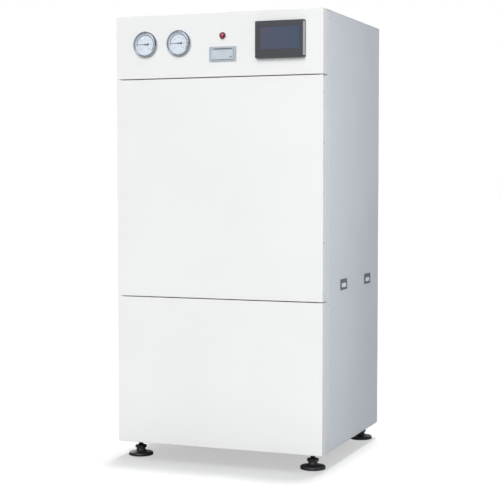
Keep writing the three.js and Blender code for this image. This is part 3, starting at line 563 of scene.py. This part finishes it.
def add_hood(bm, x0, x1, y, z_top):
    """A louvre: a quarter-round hood that stands out over a slot and is open below."""
    steps, ends, height, proud = 6, 5, 20 * MM, 8 * MM
    wall, lip = 1.2 * MM, 12 * MM
    least = 0.02 * MM
    part_bm = bmesh.new()
    columns = []
    for e in range(ends * 2 + 2):
        if e <= ends:
            quarter = e / ends * math.pi / 2
            swell = math.sin(quarter)
            x = x0 + lip * (1 - math.cos(quarter))
        else:
            quarter = (e - ends - 1) / ends * math.pi / 2
            swell = math.cos(quarter)
            x = x1 - lip + lip * math.sin(quarter)
        column = []
        for layer in (0.0, wall):
            for k in range(steps + 1):
                a = (math.pi / 2) * k / steps
                out = max((proud * swell - layer) * math.sin(a), least)
                z = z_top - layer * 0.4 - (height - layer) * (1 - math.cos(a))
                column.append(part_bm.verts.new((x, y + out, z)))
        columns.append(column)
    n = steps + 1
    for a, b in zip(columns, columns[1:]):
        for k in range(steps):
            part_bm.faces.new((a[k], a[k + 1], b[k + 1], b[k]))
            part_bm.faces.new((a[n + k], b[n + k], b[n + k + 1], a[n + k + 1]))
        part_bm.faces.new((a[steps], a[n + steps], b[n + steps], b[steps]))
        part_bm.faces.new((a[0], b[0], b[n], a[n]))
    for column in (columns[0], columns[-1]):
        for k in range(steps):
            part_bm.faces.new((column[k], column[n + k], column[n + k + 1], column[k + 1]))
    absorb(bm, part_bm)


# ---------------------------------------------------------------- gauges
# The dial's scale runs clockwise from its start, in numbered steps of ten divisions each.
SCALE_START, SCALE_SWEEP, SCALE_STEPS, DIVISIONS = 225.0, 270.0, 6, 10
FIRST_VALUE, VALUE_STEP = -0.1, 0.1
# Ticks: inner radius and width of the numbered, middle and small ones, up to a common outer radius.
TICK_OUTER = 37.4 * MM
NUMBERED_TICK, MIDDLE_TICK, SMALL_TICK = (31.5 * MM, 0.9 * MM), (33.5 * MM, 0.6 * MM), (35 * MM, 0.35 * MM)
NUMERAL_RADIUS, NUMERAL_SIZE = 25.5 * MM, 7.0 * MM
TICK_THICK, BAND_THICK = 0.12 * MM, 0.1 * MM


def add_text(bm, text, size, matrix):
    """Flat numerals, as mesh."""
    curve = bpy.data.curves.new("numeral", "FONT")
    curve.body = text
    curve.size = size
    curve.extrude = 0.06 * MM
    curve.resolution_u = 2
    curve.align_x = "CENTER"
    curve.align_y = "CENTER"
    holder = bpy.data.objects.new("numeral", curve)
    bpy.context.scene.collection.objects.link(holder)
    bpy.context.view_layer.update()
    mesh = bpy.data.meshes.new_from_object(holder.evaluated_get(bpy.context.evaluated_depsgraph_get()))
    mesh.transform(matrix)
    bm.from_mesh(mesh)
    bpy.data.objects.remove(holder)
    bpy.data.curves.remove(curve)
    bpy.data.meshes.remove(mesh)


def dial_point(centre, radius, degrees, y):
    """A point on a dial: degrees are counter-clockwise from the viewer's right."""
    a = math.radians(degrees)
    return Vector((centre.x + radius * math.cos(a), y, centre.z + radius * math.sin(a)))


def add_tick(bm, centre, y, degrees, inner, outer, width):
    """A thin bar that points at the dial's centre."""
    a = math.radians(degrees)
    along, across = Vector((math.cos(a), 0, math.sin(a))), Vector((-math.sin(a), 0, math.cos(a)))
    corners = []
    for depth in (0.0, -TICK_THICK):
        for r, s in ((inner, -1), (outer, -1), (outer, 1), (inner, 1)):
            place = centre + along * r + across * s * width / 2 + Y_AXIS * (y + depth - centre.y)
            corners.append(bm.verts.new(place))
    for quad in ((0, 1, 2, 3), (4, 7, 6, 5), (0, 4, 5, 1), (1, 5, 6, 2), (2, 6, 7, 3), (3, 7, 4, 0)):
        bm.faces.new([corners[i] for i in quad])


def add_arc(bm, centre, y, start, stop, inner, outer, steps):
    """A flat arc band that faces the front."""
    for k in range(steps):
        a = start + (stop - start) * k / steps
        b = start + (stop - start) * (k + 1) / steps
        lower = [dial_point(centre, r, d, y) for r, d in ((inner, a), (outer, a), (outer, b), (inner, b))]
        raised = [p - Y_AXIS * BAND_THICK for p in lower]
        verts = [bm.verts.new(p) for p in lower + raised]
        for quad in ((0, 1, 2, 3), (4, 7, 6, 5), (0, 4, 5, 1), (2, 6, 7, 3)):
            bm.faces.new([verts[i] for i in quad])
        if k == 0:
            bm.faces.new([verts[i] for i in (0, 3, 7, 4)])
        if k == steps - 1:
            bm.faces.new([verts[i] for i in (1, 5, 6, 2)])
    bmesh.ops.remove_doubles(bm, verts=bm.verts, dist=1e-7)


def gauge(side):
    """A dial gauge: a turned ring and case, a printed card under a lens, and a pointer."""
    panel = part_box("control_fascia")[0].y
    # Heights of the profiles count outwards from the fascia's front face.
    out = -Y_AXIS
    origin = middle_of(*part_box(f"gauge_case_{side}"), panel)
    case = [
        (0, -54), (7, -54), (7, -46), (48.6, -46), (49.5, -45), (49.5, 0.5), (54.2, 0.5), (55, 1.2),
        (55, 8.6), (54.7, 9.8), (50.6, 14.2), (49.8, 14.8), (48.9, 14.9), (48.1, 14.4), (47.7, 13.6),
        (47.5, 12.0), (47.5, -43), (0, -43),
    ]
    lathe_piece(
        f"gauge_ring_{side}", in_mm(case), out, origin, "cabinet", "gauge_steel", 96, (f"gauge_case_{side}",),
    )
    card = [(3.4, 3.05), (46.8, 3.05), (46.8, 3.95), (46.6, 4.0), (3.4, 4.0)]
    lathe_piece(
        f"gauge_card_{side}", in_mm(card), out, origin, "cabinet", "dial_white", 72, (f"gauge_dial_{side}",)
    )
    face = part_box(f"gauge_dial_{side}")[0].y - 0.02 * MM
    spot = Vector((origin.x, face, origin.z))
    print_dial(side, spot)
    pin = bmesh.new()
    stop = [(0, 0), (1.6, 0), (1.6, 1.0), (1.1, 1.5), (0, 1.6)]
    add_lathe(pin, in_mm(stop), axis_matrix(out, dial_point(spot, 39.5 * MM, -37, face)), 20)
    piece(f"gauge_stop_pin_{side}", pin, "cabinet", "needle_black")
    pointer(side, spot, out)
    glass = [(0, 11.6), (47.0, 11.0), (47.2, 11.6), (47.2, 12.4), (40, 13.1), (20, 13.6), (0, 13.8)]
    lathe_piece(
        f"gauge_glass_{side}", in_mm(glass), out, origin, "cabinet", "clear_glass", 96,
        (f"gauge_lens_{side}",), smooth=40,
    )


def print_dial(side, spot):
    """Ticks, numerals and a grey band, and a red limit on the right gauge."""
    ink = bmesh.new()
    face = spot.y
    for k in range(SCALE_STEPS * DIVISIONS + 1):
        degrees = SCALE_START - SCALE_SWEEP * k / (SCALE_STEPS * DIVISIONS)
        if k % DIVISIONS == 0:
            inner, width = NUMBERED_TICK
        elif k % (DIVISIONS // 2) == 0:
            inner, width = MIDDLE_TICK
        else:
            inner, width = SMALL_TICK
        add_tick(ink, spot, face, degrees, inner, TICK_OUTER, width)
    face_front = Matrix.Rotation(math.pi / 2, 4, "X")
    for k in range(SCALE_STEPS + 1):
        value = round(FIRST_VALUE + VALUE_STEP * k, 1)
        at = dial_point(spot, NUMERAL_RADIUS, SCALE_START - SCALE_SWEEP * k / SCALE_STEPS, face)
        numeral = "0" if value == 0 else f"{value:g}"
        add_text(ink, numeral, NUMERAL_SIZE, Matrix.Translation(at) @ face_front)
    piece(f"gauge_scale_{side}", ink, "cabinet", "dial_ink")
    line = bmesh.new()
    add_arc(line, spot, face, 190, -38, TICK_OUTER, 41.0 * MM, 54)
    piece(f"gauge_arc_{side}", line, "cabinet", "dial_grey")
    if side == "right":
        red = bmesh.new()
        add_arc(red, spot, face, 2, -34, 41.8 * MM, 44.6 * MM, 12)
        piece("gauge_limit_right", red, "cabinet", "dial_red")


def pointer(side, spot, out):
    """A tapered black hand with a round counterweight, on its hub."""
    lo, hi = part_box(f"gauge_needle_{side}")
    bm = bmesh.new()
    y0, y1 = lo.y + 0.6 * MM, lo.y + 1.4 * MM
    outline = [(-38.5, 0.25), (-30, 0.8), (-8, 1.3), (0, 1.6), (7.5, 1.8), (9.8, 4.2), (13, 5.4)]
    outline += [(16.2, 4.2), (17.8, 2.0), (17.8, 0)]
    loop = outline + [(x, -z) for x, z in reversed(outline) if z > 0]
    rings = []
    for y in (y0, y1):
        rings.append([bm.verts.new((spot.x + x * MM, y, spot.z + z * MM)) for x, z in loop])
    add_prism(bm, rings)
    hub = [(0, -13.0), (2.8, -13.0), (2.8, -0.4), (3.4, -0.4), (3.4, 0.9), (2.9, 1.5), (0, 1.8)]
    foot_of_hub = (spot.x, hi.y - 13.0 * MM + 1.0 * MM, spot.z)
    add_lathe(bm, in_mm(hub), axis_matrix(out, foot_of_hub), 40)
    piece(f"gauge_pointer_{side}", bm, f"needle_{side}", "needle_black", (f"gauge_needle_{side}",))


# ---------------------------------------------------------------- button, printer and touch screen
def power_button():
    """A red lens in a bright ring, on a threaded barrel."""
    origin = middle_of(*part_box("button_bezel"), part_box("control_fascia")[0].y)
    ring = [
        (0, -34), (10.4, -34), (10.8, -33.6), (10.8, 0.4), (14.1, 0.4), (14.5, 0.8), (14.5, 2.6), (14.3, 3.4),
        (14.0, 3.7), (13.7, 3.4), (13.6, 1.5), (9.4, 1.5), (9.4, -12), (0, -12),
    ]
    lathe_piece("button_ring", in_mm(ring), -Y_AXIS, origin, "cabinet", "chrome", 72, ("button_bezel",))
    cap = [(0, -7), (8.4, -7), (8.8, -6.6), (8.8, 6), (13.1, 6), (13.3, 6.3), (13.3, 7.4), (12.8, 8.3)]
    cap += [(11.4, 9.3), (10.4, 9.3), (9.8, 9.7), (8.8, 10.6), (6.6, 11.6), (4.0, 12.2), (0, 12.5)]
    lathe_piece("button_lens", in_mm(cap), -Y_AXIS, origin, "button", "red_lens", 72, ("button_cap",))


def add_prism(bm, rings):
    """Joins two rings of points, front and back, into a closed solid."""
    count = len(rings[0])
    bm.faces.new(rings[0])
    bm.faces.new(list(reversed(rings[1])))
    for k in range(count):
        n = (k + 1) % count
        bm.faces.new((rings[0][k], rings[1][k], rings[1][n], rings[0][n]))


def printer():
    """The printer's case, its ribbed lid with a small lamp, its tear bar, paper end and feed key."""
    softened("printer_housing", "printer_case", 0.8 * MM, "grey_plastic")
    bm = round_sharp_edges(welded("printer_lid"), 0.5 * MM)
    lo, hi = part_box("printer_lid")
    side = 30 * MM
    for k in range(3):
        z = hi.z - (5 + k * 2.2) * MM
        low, high = (lo.x + side, lo.y - 0.5 * MM, z), (hi.x - side, lo.y + 0.4 * MM, z + 1.0 * MM)
        rounded_box(bm, low, high, 0.3 * MM, 2)
    piece("printer_door", bm, "lid", "pale_plastic", ("printer_lid",), flat_first=True)
    case_lo, case_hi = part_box("printer_housing")
    middle = (case_lo.x + case_hi.x) / 2
    slot_top = case_hi.z - 8 * MM + 0.2 * MM
    tear_bar(middle, case_lo.y + 0.6 * MM, slot_top)
    paper_end(middle, case_lo.y + 3.6 * MM, slot_top - 0.6 * MM)
    softened("printer_feed_button", "feed_key_cap", 0.4 * MM)
    lamp = bmesh.new()
    at = Vector((hi.x - 10.5 * MM, lo.y, lo.z + 8.6 * MM)) - X_AXIS * 8 * MM
    dome = [(0, -0.3), (1.1, -0.3), (1.1, 0.3), (0.6, 0.6), (0, 0.7)]
    add_lathe(lamp, in_mm(dome), axis_matrix(-Y_AXIS, at), 20)
    piece("printer_lamp", lamp, "lid", "red_lens")


def tear_bar(middle, front, top):
    """A thin toothed steel bar along the top of the paper slot."""
    bar = bmesh.new()
    half, teeth, thick = 41 * MM, 41, 0.4 * MM
    tip, root = -0.9 * MM, -0.1 * MM
    outline = [(-half, 0.0)]
    for k in range(teeth):
        x = -half + 2 * half * k / teeth
        outline += [(x, tip), (x + half / teeth, root)]
    outline += [(half, tip), (half, 0.0)]
    rings = []
    for y in (front, front + thick):
        rings.append([bar.verts.new((middle + x, y, top - 1.0 * MM - z)) for x, z in outline])
    add_prism(bar, rings)
    piece("printer_tear_bar", bar, "cabinet", "bright_steel")


def paper_end(middle, y_start, z_start):
    """The end of the paper, which lies in the slot and curls up a little at its front."""
    strip = bmesh.new()
    path = [(24, 0.1), (10, 0.1), (2, 0.1), (0.4, 0.15), (-1.0, 0.6)]
    width = 28.5 * MM
    for y_mm, z_mm in path:
        for x in (middle - width, middle + width):
            strip.verts.new((x, y_start + y_mm * MM, z_start + z_mm * MM))
    strip.verts.ensure_lookup_table()
    for k in range(len(path) - 1):
        a = 2 * k
        strip.faces.new((strip.verts[a], strip.verts[a + 1], strip.verts[a + 3], strip.verts[a + 2]))
    bmesh.ops.solidify(strip, geom=strip.faces[:], thickness=0.08 * MM)
    piece("paper_strip", strip, "cabinet", "paper_white")


def touch_screen():
    """The dark housing, the raised rim round its glass, a pale strip on its right edge and a lamp."""
    lo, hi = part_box("touchscreen_housing")
    bm = welded("touchscreen_housing")
    near = 6 * MM

    def on_outline(co):
        beside = co.x < lo.x + near or co.x > hi.x - near
        return beside or co.z < lo.z + near or co.z > hi.z - near

    front = [e for e in bm.edges if all(abs(v.co.y - lo.y) < ON_PLANE for v in e.verts)]
    rim = [e for e in front if all(on_outline(v.co) for v in e.verts)]
    rounded(bm, rim, 1.0 * MM, 3, 0.6)
    piece("screen_bezel", bm, "cabinet", "smoke_plastic", ("touchscreen_housing",), flat_first=True)
    glass_lo, glass_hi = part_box("touchscreen_glass")
    rim_bm = bmesh.new()
    inset, frame_in, frame_out = 0.4 * MM, 0.6 * MM, 2.2 * MM
    section = [
        (inset, glass_lo.y - 0.05 * MM),
        (frame_in, glass_lo.y - 0.05 * MM),
        (frame_out, lo.y + 0.02 * MM),
        (frame_out, lo.y + 1.2 * MM),
        (inset, glass_lo.y + 1.0 * MM),
    ]
    loops = []
    for grow, y in section:
        x0, x1, z0, z1 = glass_lo.x - grow, glass_hi.x + grow, glass_lo.z - grow, glass_hi.z + grow
        loops.append([rim_bm.verts.new(p) for p in ((x0, y, z0), (x1, y, z0), (x1, y, z1), (x0, y, z1))])
    for a, b in zip(loops, loops[1:] + loops[:1]):
        for k in range(4):
            n = (k + 1) % 4
            rim_bm.faces.new((a[k], a[n], b[n], b[k]))
    piece("screen_inner_rim", rim_bm, "cabinet", "smoke_plastic")
    side_strip(lo, hi)
    led = bmesh.new()
    at = Vector((hi.x - 14 * MM, lo.y + 0.2 * MM, glass_lo.z - 14 * MM))
    add_lathe(led, in_mm([(0, -0.3), (1.3, -0.3), (1.3, 0.1), (0, 0.2)]), axis_matrix(-Y_AXIS, at), 24)
    piece("screen_lamp", led, "cabinet", "screen_glass")


def side_strip(lo, hi):
    """A pale strip that lies on the housing's slanted right edge."""
    start, stop = Vector((hi.x - BEVEL_WIDE, lo.y, 0)), Vector((hi.x, lo.y + BEVEL_DEEP, 0))
    along = (stop - start).normalized()
    outward = along.cross(Z_AXIS)
    middle = (start + stop) / 2 + Z_AXIS * (lo.z + hi.z) / 2
    matrix = Matrix((along, Z_AXIS, outward)).transposed().to_4x4()
    matrix.translation = middle
    corner = Vector(((stop - start).length / 2 - 1.2 * MM, (hi.z - lo.z) / 2 - 7.5 * MM, 0.6 * MM))
    strip = bmesh.new()
    rounded_box(strip, -corner, corner, 0.4 * MM, 2)
    strip.transform(matrix)
    piece("screen_side_strip", strip, "cabinet", "lilac_plastic", flat_first=True)


# ---------------------------------------------------------------- latches and feet
def latches():
    """Two dark dishes with a pale paddle in each; the paddle's near-white colour is a painted highlight."""
    for row in ("front", "rear"):
        softened(f"latch_bezel_{row}", f"latch_dish_{row}", 0.7 * MM, "latch_grey", 3)
        softened(f"latch_paddle_{row}", f"latch_lever_{row}", 0.5 * MM, "lever_enamel", 2)


def foot(name):
    """A ribbed pad, boss and star-shaped collar, with the thread showing on its spindle."""
    lo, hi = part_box(name)
    cx, cy = (lo.x + hi.x) / 2, (lo.y + hi.y) / 2
    body = BODY_OF[name]
    matrix = Matrix.Translation((cx, cy, 0))
    profile = [
        (0, 0), (51, 0), (53.4, 0.8), (54, 2.2), (54, 9.8), (53.2, 11.8), (51.0, 13.4), (46, 14.6),
        (34, 16.8), (26, 18.4), (23.4, 19.6), (21.4, 20.8), (19.6, 23), (18.8, 27), (18.4, 31.6),
        (17.6, 32.6), (0, 32.6),
    ]

    ribs, rib_depth, lobes, lobe_depth = 16, 0.05, 8, 0.10

    def ribbed(angle, r, z):
        on_boss = 21 * MM < z < 32 * MM
        return r * (1 + rib_depth * max(0.0, math.cos(ribs * angle))) if on_boss else r

    pad = bmesh.new()
    add_lathe(pad, in_mm(profile), matrix, 96, ribbed)
    piece(f"{name}_pad", pad, body, "black_nylon", (name,), smooth=35)
    star = [(9, 33), (24.6, 33), (26, 34.2), (26, 42.6), (24.6, 43.8), (17, 45.0), (12.4, 46.8)]
    star += [(10.6, 47.4), (9, 47.4)]

    def lobed(angle, r, z):
        return r * (1 - lobe_depth * (0.5 - 0.5 * math.cos(lobes * angle))) if r > 20 * MM else r

    collar = bmesh.new()
    add_lathe(collar, in_mm(star), matrix, 96, lobed)
    piece(f"{name}_collar", collar, body, "black_nylon", smooth=35)
    core, crest, pitch, z = 8.7, 9.9, 1.5, 33.2
    rings = [(0, 32.7), (core, 32.7)]
    while z < 103.4:
        rings += [(core, z), (crest, z + 0.55), (crest, z + 0.75)]
        z += pitch
    rings += [(core, 103.9), (0, 104)]
    thread = bmesh.new()
    add_lathe(thread, in_mm(rings), matrix, 32)
    piece(f"{name}_thread", thread, body, "blackened_steel", smooth=25)


# ---------------------------------------------------------------- behind the front cover
def behind_the_cover():
    """What shows once the front cover is open."""
    softened("inner_facade", "facade_skin", 0.9 * MM, "stainless_level", 3)
    softened("pressure_door", "pressure_door_skin", 1.6 * MM, "stainless", 2)
    softened("front_door_liner", "cover_liner_skin", 0.8 * MM, "grey_paint", 3)
    lo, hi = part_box("inner_facade")
    edge, end, gaps = 18 * MM, 25 * MM, 5
    points = []
    for k in range(gaps + 1):
        z = lo.z + end + k * (hi.z - lo.z - 2 * end) / gaps
        points += [(lo.x + edge, lo.y, z), (hi.x - edge, lo.y, z)]
    for x in (-0.26, -0.09, 0.09, 0.26):
        points += [(x, lo.y, lo.z + edge), (x, lo.y, hi.z - edge)]
    screws("facade_screws", points, -Y_AXIS, 4.5 * MM, 2.2 * MM, "cabinet")
    seal()
    liner_details()
    shelves()


def seal():
    """A round rubber edge seal along the facing's window."""
    bm = bmesh.new()
    half, low, high, y = 0.300, 0.905, 1.515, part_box("inner_facade")[0].y
    r, sides = 1.8 * MM, 10
    corners = [(-half, low), (half, low), (half, high), (-half, high)]
    rings = []
    for (x, z), (sx, sz) in zip(corners, ((1, 1), (-1, 1), (-1, -1), (1, -1))):
        ring = []
        for k in range(sides):
            a = 2 * math.pi * k / sides
            inward = 1.0 * MM + r * math.cos(a) - r
            ring.append(bm.verts.new((x + sx * inward, y - 0.2 * MM + r * math.sin(a), z + sz * inward)))
        rings.append(ring)
    for i in range(4):
        a, b = rings[i], rings[(i + 1) % 4]
        for k in range(sides):
            n = (k + 1) % sides
            bm.faces.new((a[k], a[n], b[n], b[k]))
    piece("facade_window_seal", bm, "cabinet", "black_rubber", smooth=60)


def liner_details():
    """Pressed stiffeners, screws and two magnet catches on the back of the front cover."""
    lo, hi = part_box("front_door_liner")
    bm = bmesh.new()
    for x0, x1 in ((-0.40, -0.04), (0.04, 0.40)):
        for z0, z1 in ((0.80, 1.14), (1.22, 1.56)):
            rounded_box(bm, (x0, hi.y - 1.0 * MM, z0), (x1, hi.y + 2.4 * MM, z1), 1.2 * MM)
    piece("cover_stiffeners", bm, "front_cover", "grey_paint", flat_first=True)
    heights = (0.76, 0.97, 1.18, 1.39, 1.60)
    points = [(x, hi.y, z) for x in (lo.x + 12 * MM, hi.x - 12 * MM) for z in heights]
    screws("liner_screws", points, Y_AXIS, 3.6 * MM, 1.8 * MM, "front_cover")
    catch = bmesh.new()
    for z in (0.88, 1.48):
        low = (lo.x + 20 * MM, hi.y - 0.5 * MM, z - 22 * MM)
        high = (lo.x + 34 * MM, hi.y + 3.6 * MM, z + 22 * MM)
        rounded_box(catch, low, high, 1.2 * MM)
    piece("cover_magnets", catch, "front_cover", "black_rubber")


def shelves():
    """Each shelf is a bright frame with cross bars."""
    for level in ("lower", "upper"):
        name = f"shelf_{level}"
        lo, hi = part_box(name)
        bm = bmesh.new()
        wall, top, bars, bar_radius = 12 * MM, hi.z, 21, 2.6 * MM
        rails = [
            ((lo.x, lo.y, lo.z), (lo.x + wall, hi.y, top)),
            ((hi.x - wall, lo.y, lo.z), (hi.x, hi.y, top)),
            ((lo.x + wall - MM, lo.y, lo.z), (hi.x - wall + MM, lo.y + wall, top)),
            ((lo.x + wall - MM, hi.y - wall, lo.z), (hi.x - wall + MM, hi.y, top)),
        ]
        for a, b in rails:
            rounded_box(bm, a, b, 1.0 * MM, 2)
        for k in range(bars):
            x = lo.x + wall + (hi.x - lo.x - 2 * wall) * (k + 0.5) / bars
            matrix = axis_matrix(Y_AXIS, (x, lo.y + wall / 2, top - 3.2 * MM))
            length = hi.y - lo.y - wall
            add_lathe(bm, [(0, 0), (bar_radius, 0), (bar_radius, length), (0, length)], matrix, 10)
        piece(f"{name}_rack", bm, "cabinet", "bright_steel", (name,), smooth=40)


# ---------------------------------------------------------------- studio and camera
def studio_floor():
    """A pale floor. It glows a little where the camera sees it, so that the shadow on it stays light grey,
    and it is dimmer where it lights the cabinet from below."""
    bm = bmesh.new()
    bmesh.ops.create_grid(bm, x_segments=1, y_segments=1, size=60.0)
    mesh = bpy.data.meshes.new("floor")
    bm.to_mesh(mesh)
    bm.free()
    ground = bpy.data.objects.new("floor", mesh)
    bpy.context.scene.collection.objects.link(ground)
    pale = Shader("studio_floor", (FLOOR_SEEN,) * 3, 0.9, Specular_IOR_Level=0.1)
    pale.bsdf.inputs["Emission Color"].default_value = (1, 1, 1, 1)
    seen = pale.tree.nodes.new("ShaderNodeLightPath").outputs["Is Camera Ray"]
    glow = pale.tree.nodes.new("ShaderNodeMath")
    glow.operation = "MULTIPLY"
    glow.inputs[1].default_value = FLOOR_GLOW
    pale.link(seen, glow.inputs[0])
    pale.link(glow.outputs["Value"], pale.bsdf.inputs["Emission Strength"])
    mottled = pale.ramp(pale.noise(0.7, 2.0), (FLOOR_SEEN * 0.996,) * 3, (FLOOR_SEEN * 1.004,) * 3)
    shade = pale.tree.nodes.new("ShaderNodeMix")
    shade.data_type = "RGBA"
    color_a, color_b = [i for i in shade.inputs if i.type == "RGBA"]
    color_a.default_value = (FLOOR_BOUNCE, FLOOR_BOUNCE, FLOOR_BOUNCE, 1)
    pale.link(seen, shade.inputs["Factor"])
    pale.link(mottled, color_b)
    result = [o for o in shade.outputs if o.type == "RGBA"][0]
    pale.link(result, pale.bsdf.inputs["Base Color"])
    mesh.materials.append(pale.material)
    return ground


def studio_world():
    """A white backdrop, whose light is strongest from the middle and weaker from either side."""
    world = bpy.data.worlds.new("studio")
    bpy.context.scene.world = world
    world.use_nodes = True
    tree = world.node_tree
    surround = tree.nodes["Background"]
    surround.inputs["Color"].default_value = (*SURROUND_TINT, 1)
    direction = tree.nodes.new("ShaderNodeTexCoord")
    split = tree.nodes.new("ShaderNodeSeparateXYZ")
    across = tree.nodes.new("ShaderNodeMapRange")
    across.inputs["From Min"].default_value = -1.0
    level = tree.nodes.new("ShaderNodeValToRGB")
    level.color_ramp.elements.new(0.5)
    for stop, place, light in zip(
        level.color_ramp.elements, (0.05, 0.5, 0.95), (SURROUND_LEFT, SURROUND_MIDDLE, SURROUND_RIGHT)
    ):
        stop.position = place
        stop.color = (light, light, light, 1)
    tree.links.new(direction.outputs["Generated"], split.inputs["Vector"])
    tree.links.new(split.outputs["X"], across.inputs["Value"])
    tree.links.new(across.outputs["Result"], level.inputs["Fac"])
    behind = tree.nodes.new("ShaderNodeMapRange")
    behind.inputs["From Min"].default_value = 0.5
    behind.inputs["From Max"].default_value = 0.9
    tree.links.new(split.outputs["Y"], behind.inputs["Value"])
    path = tree.nodes.new("ShaderNodeLightPath")
    mirrored = tree.nodes.new("ShaderNodeMath")
    mirrored.operation = "MULTIPLY"
    tree.links.new(behind.outputs["Result"], mirrored.inputs[0])
    tree.links.new(path.outputs["Is Glossy Ray"], mirrored.inputs[1])
    strength = tree.nodes.new("ShaderNodeMix")
    tree.links.new(mirrored.outputs["Value"], strength.inputs["Factor"])
    tree.links.new(level.outputs["Color"], strength.inputs["A"])
    strength.inputs["B"].default_value = BEHIND
    tree.links.new(strength.outputs["Result"], surround.inputs["Strength"])
    backdrop = tree.nodes.new("ShaderNodeBackground")
    backdrop.inputs["Color"].default_value = (1, 1, 1, 1)
    backdrop.inputs["Strength"].default_value = 1.0
    mix = tree.nodes.new("ShaderNodeMixShader")
    tree.links.new(path.outputs["Is Camera Ray"], mix.inputs["Fac"])
    tree.links.new(surround.outputs["Background"], mix.inputs[1])
    tree.links.new(backdrop.outputs["Background"], mix.inputs[2])
    tree.links.new(mix.outputs["Shader"], tree.nodes["World Output"].inputs["Surface"])


def add_sun(name, heading, spread, strength):
    """A distant light that shines along the heading."""
    data = bpy.data.lights.new(name, "SUN")
    data.energy = strength
    data.angle = math.radians(spread)
    sun = bpy.data.objects.new(name, data)
    bpy.context.scene.collection.objects.link(sun)
    sun.rotation_euler = Vector(heading).to_track_quat("-Z", "Y").to_euler()
    return sun


def studio():
    """Floor, surroundings, three distant lights and a tall lamp on the right."""
    view = bpy.context.scene.view_settings
    view.view_transform = "Standard"
    view.look = "None"
    ground = studio_floor()
    studio_world()
    suns = [add_sun(*light) for light in SUNS]
    # The overhead light reaches only the floor, where it makes the cabinet's shadow, and the front light
    # leaves the floor out, so that the shadow stays even.
    for sun, state in zip(suns, ("INCLUDE", "EXCLUDE")):
        group = bpy.data.collections.new(f"{sun.name}_floor_{state.lower()}")
        group.objects.link(ground)
        group.collection_objects[0].light_linking.link_state = state
        sun.light_linking.receiver_collection = group
    data = bpy.data.lights.new("side_softbox", "AREA")
    data.shape = "RECTANGLE"
    data.size, data.size_y = SIDE_LAMP["size"]
    data.energy = SIDE_LAMP["watts"]
    data.color = SIDE_LAMP["color"]
    lamp = bpy.data.objects.new("side_softbox", data)
    bpy.context.scene.collection.objects.link(lamp)
    lamp.location = SIDE_LAMP["place"]
    lamp.rotation_euler = Vector((-1, 0, 0)).to_track_quat("-Z", "Y").to_euler()
    lamp.visible_camera = False


def camera():
    """The photograph's viewing angle."""
    data = bpy.data.cameras.new("camera")
    data.sensor_width = 36.0
    data.lens = CAMERA_LENS
    view = bpy.data.objects.new("camera", data)
    bpy.context.scene.collection.objects.link(view)
    view.location = CAMERA_PLACE
    yaw, pitch = math.radians(CAMERA_YAW), math.radians(CAMERA_PITCH)
    ahead = Vector((math.sin(yaw) * math.cos(pitch), math.cos(yaw) * math.cos(pitch), math.sin(pitch)))
    view.rotation_euler = ahead.to_track_quat("-Z", "Y").to_euler()
    bpy.context.scene.camera = view


camera()
cabinet_skins()
cover_screws()
back_details()
gauge("left")
gauge("right")
power_button()
printer()
touch_screen()
latches()
for foot_name in ("foot_front_left", "foot_front_right", "foot_rear_left", "foot_rear_right"):
    foot(foot_name)
behind_the_cover()
studio()
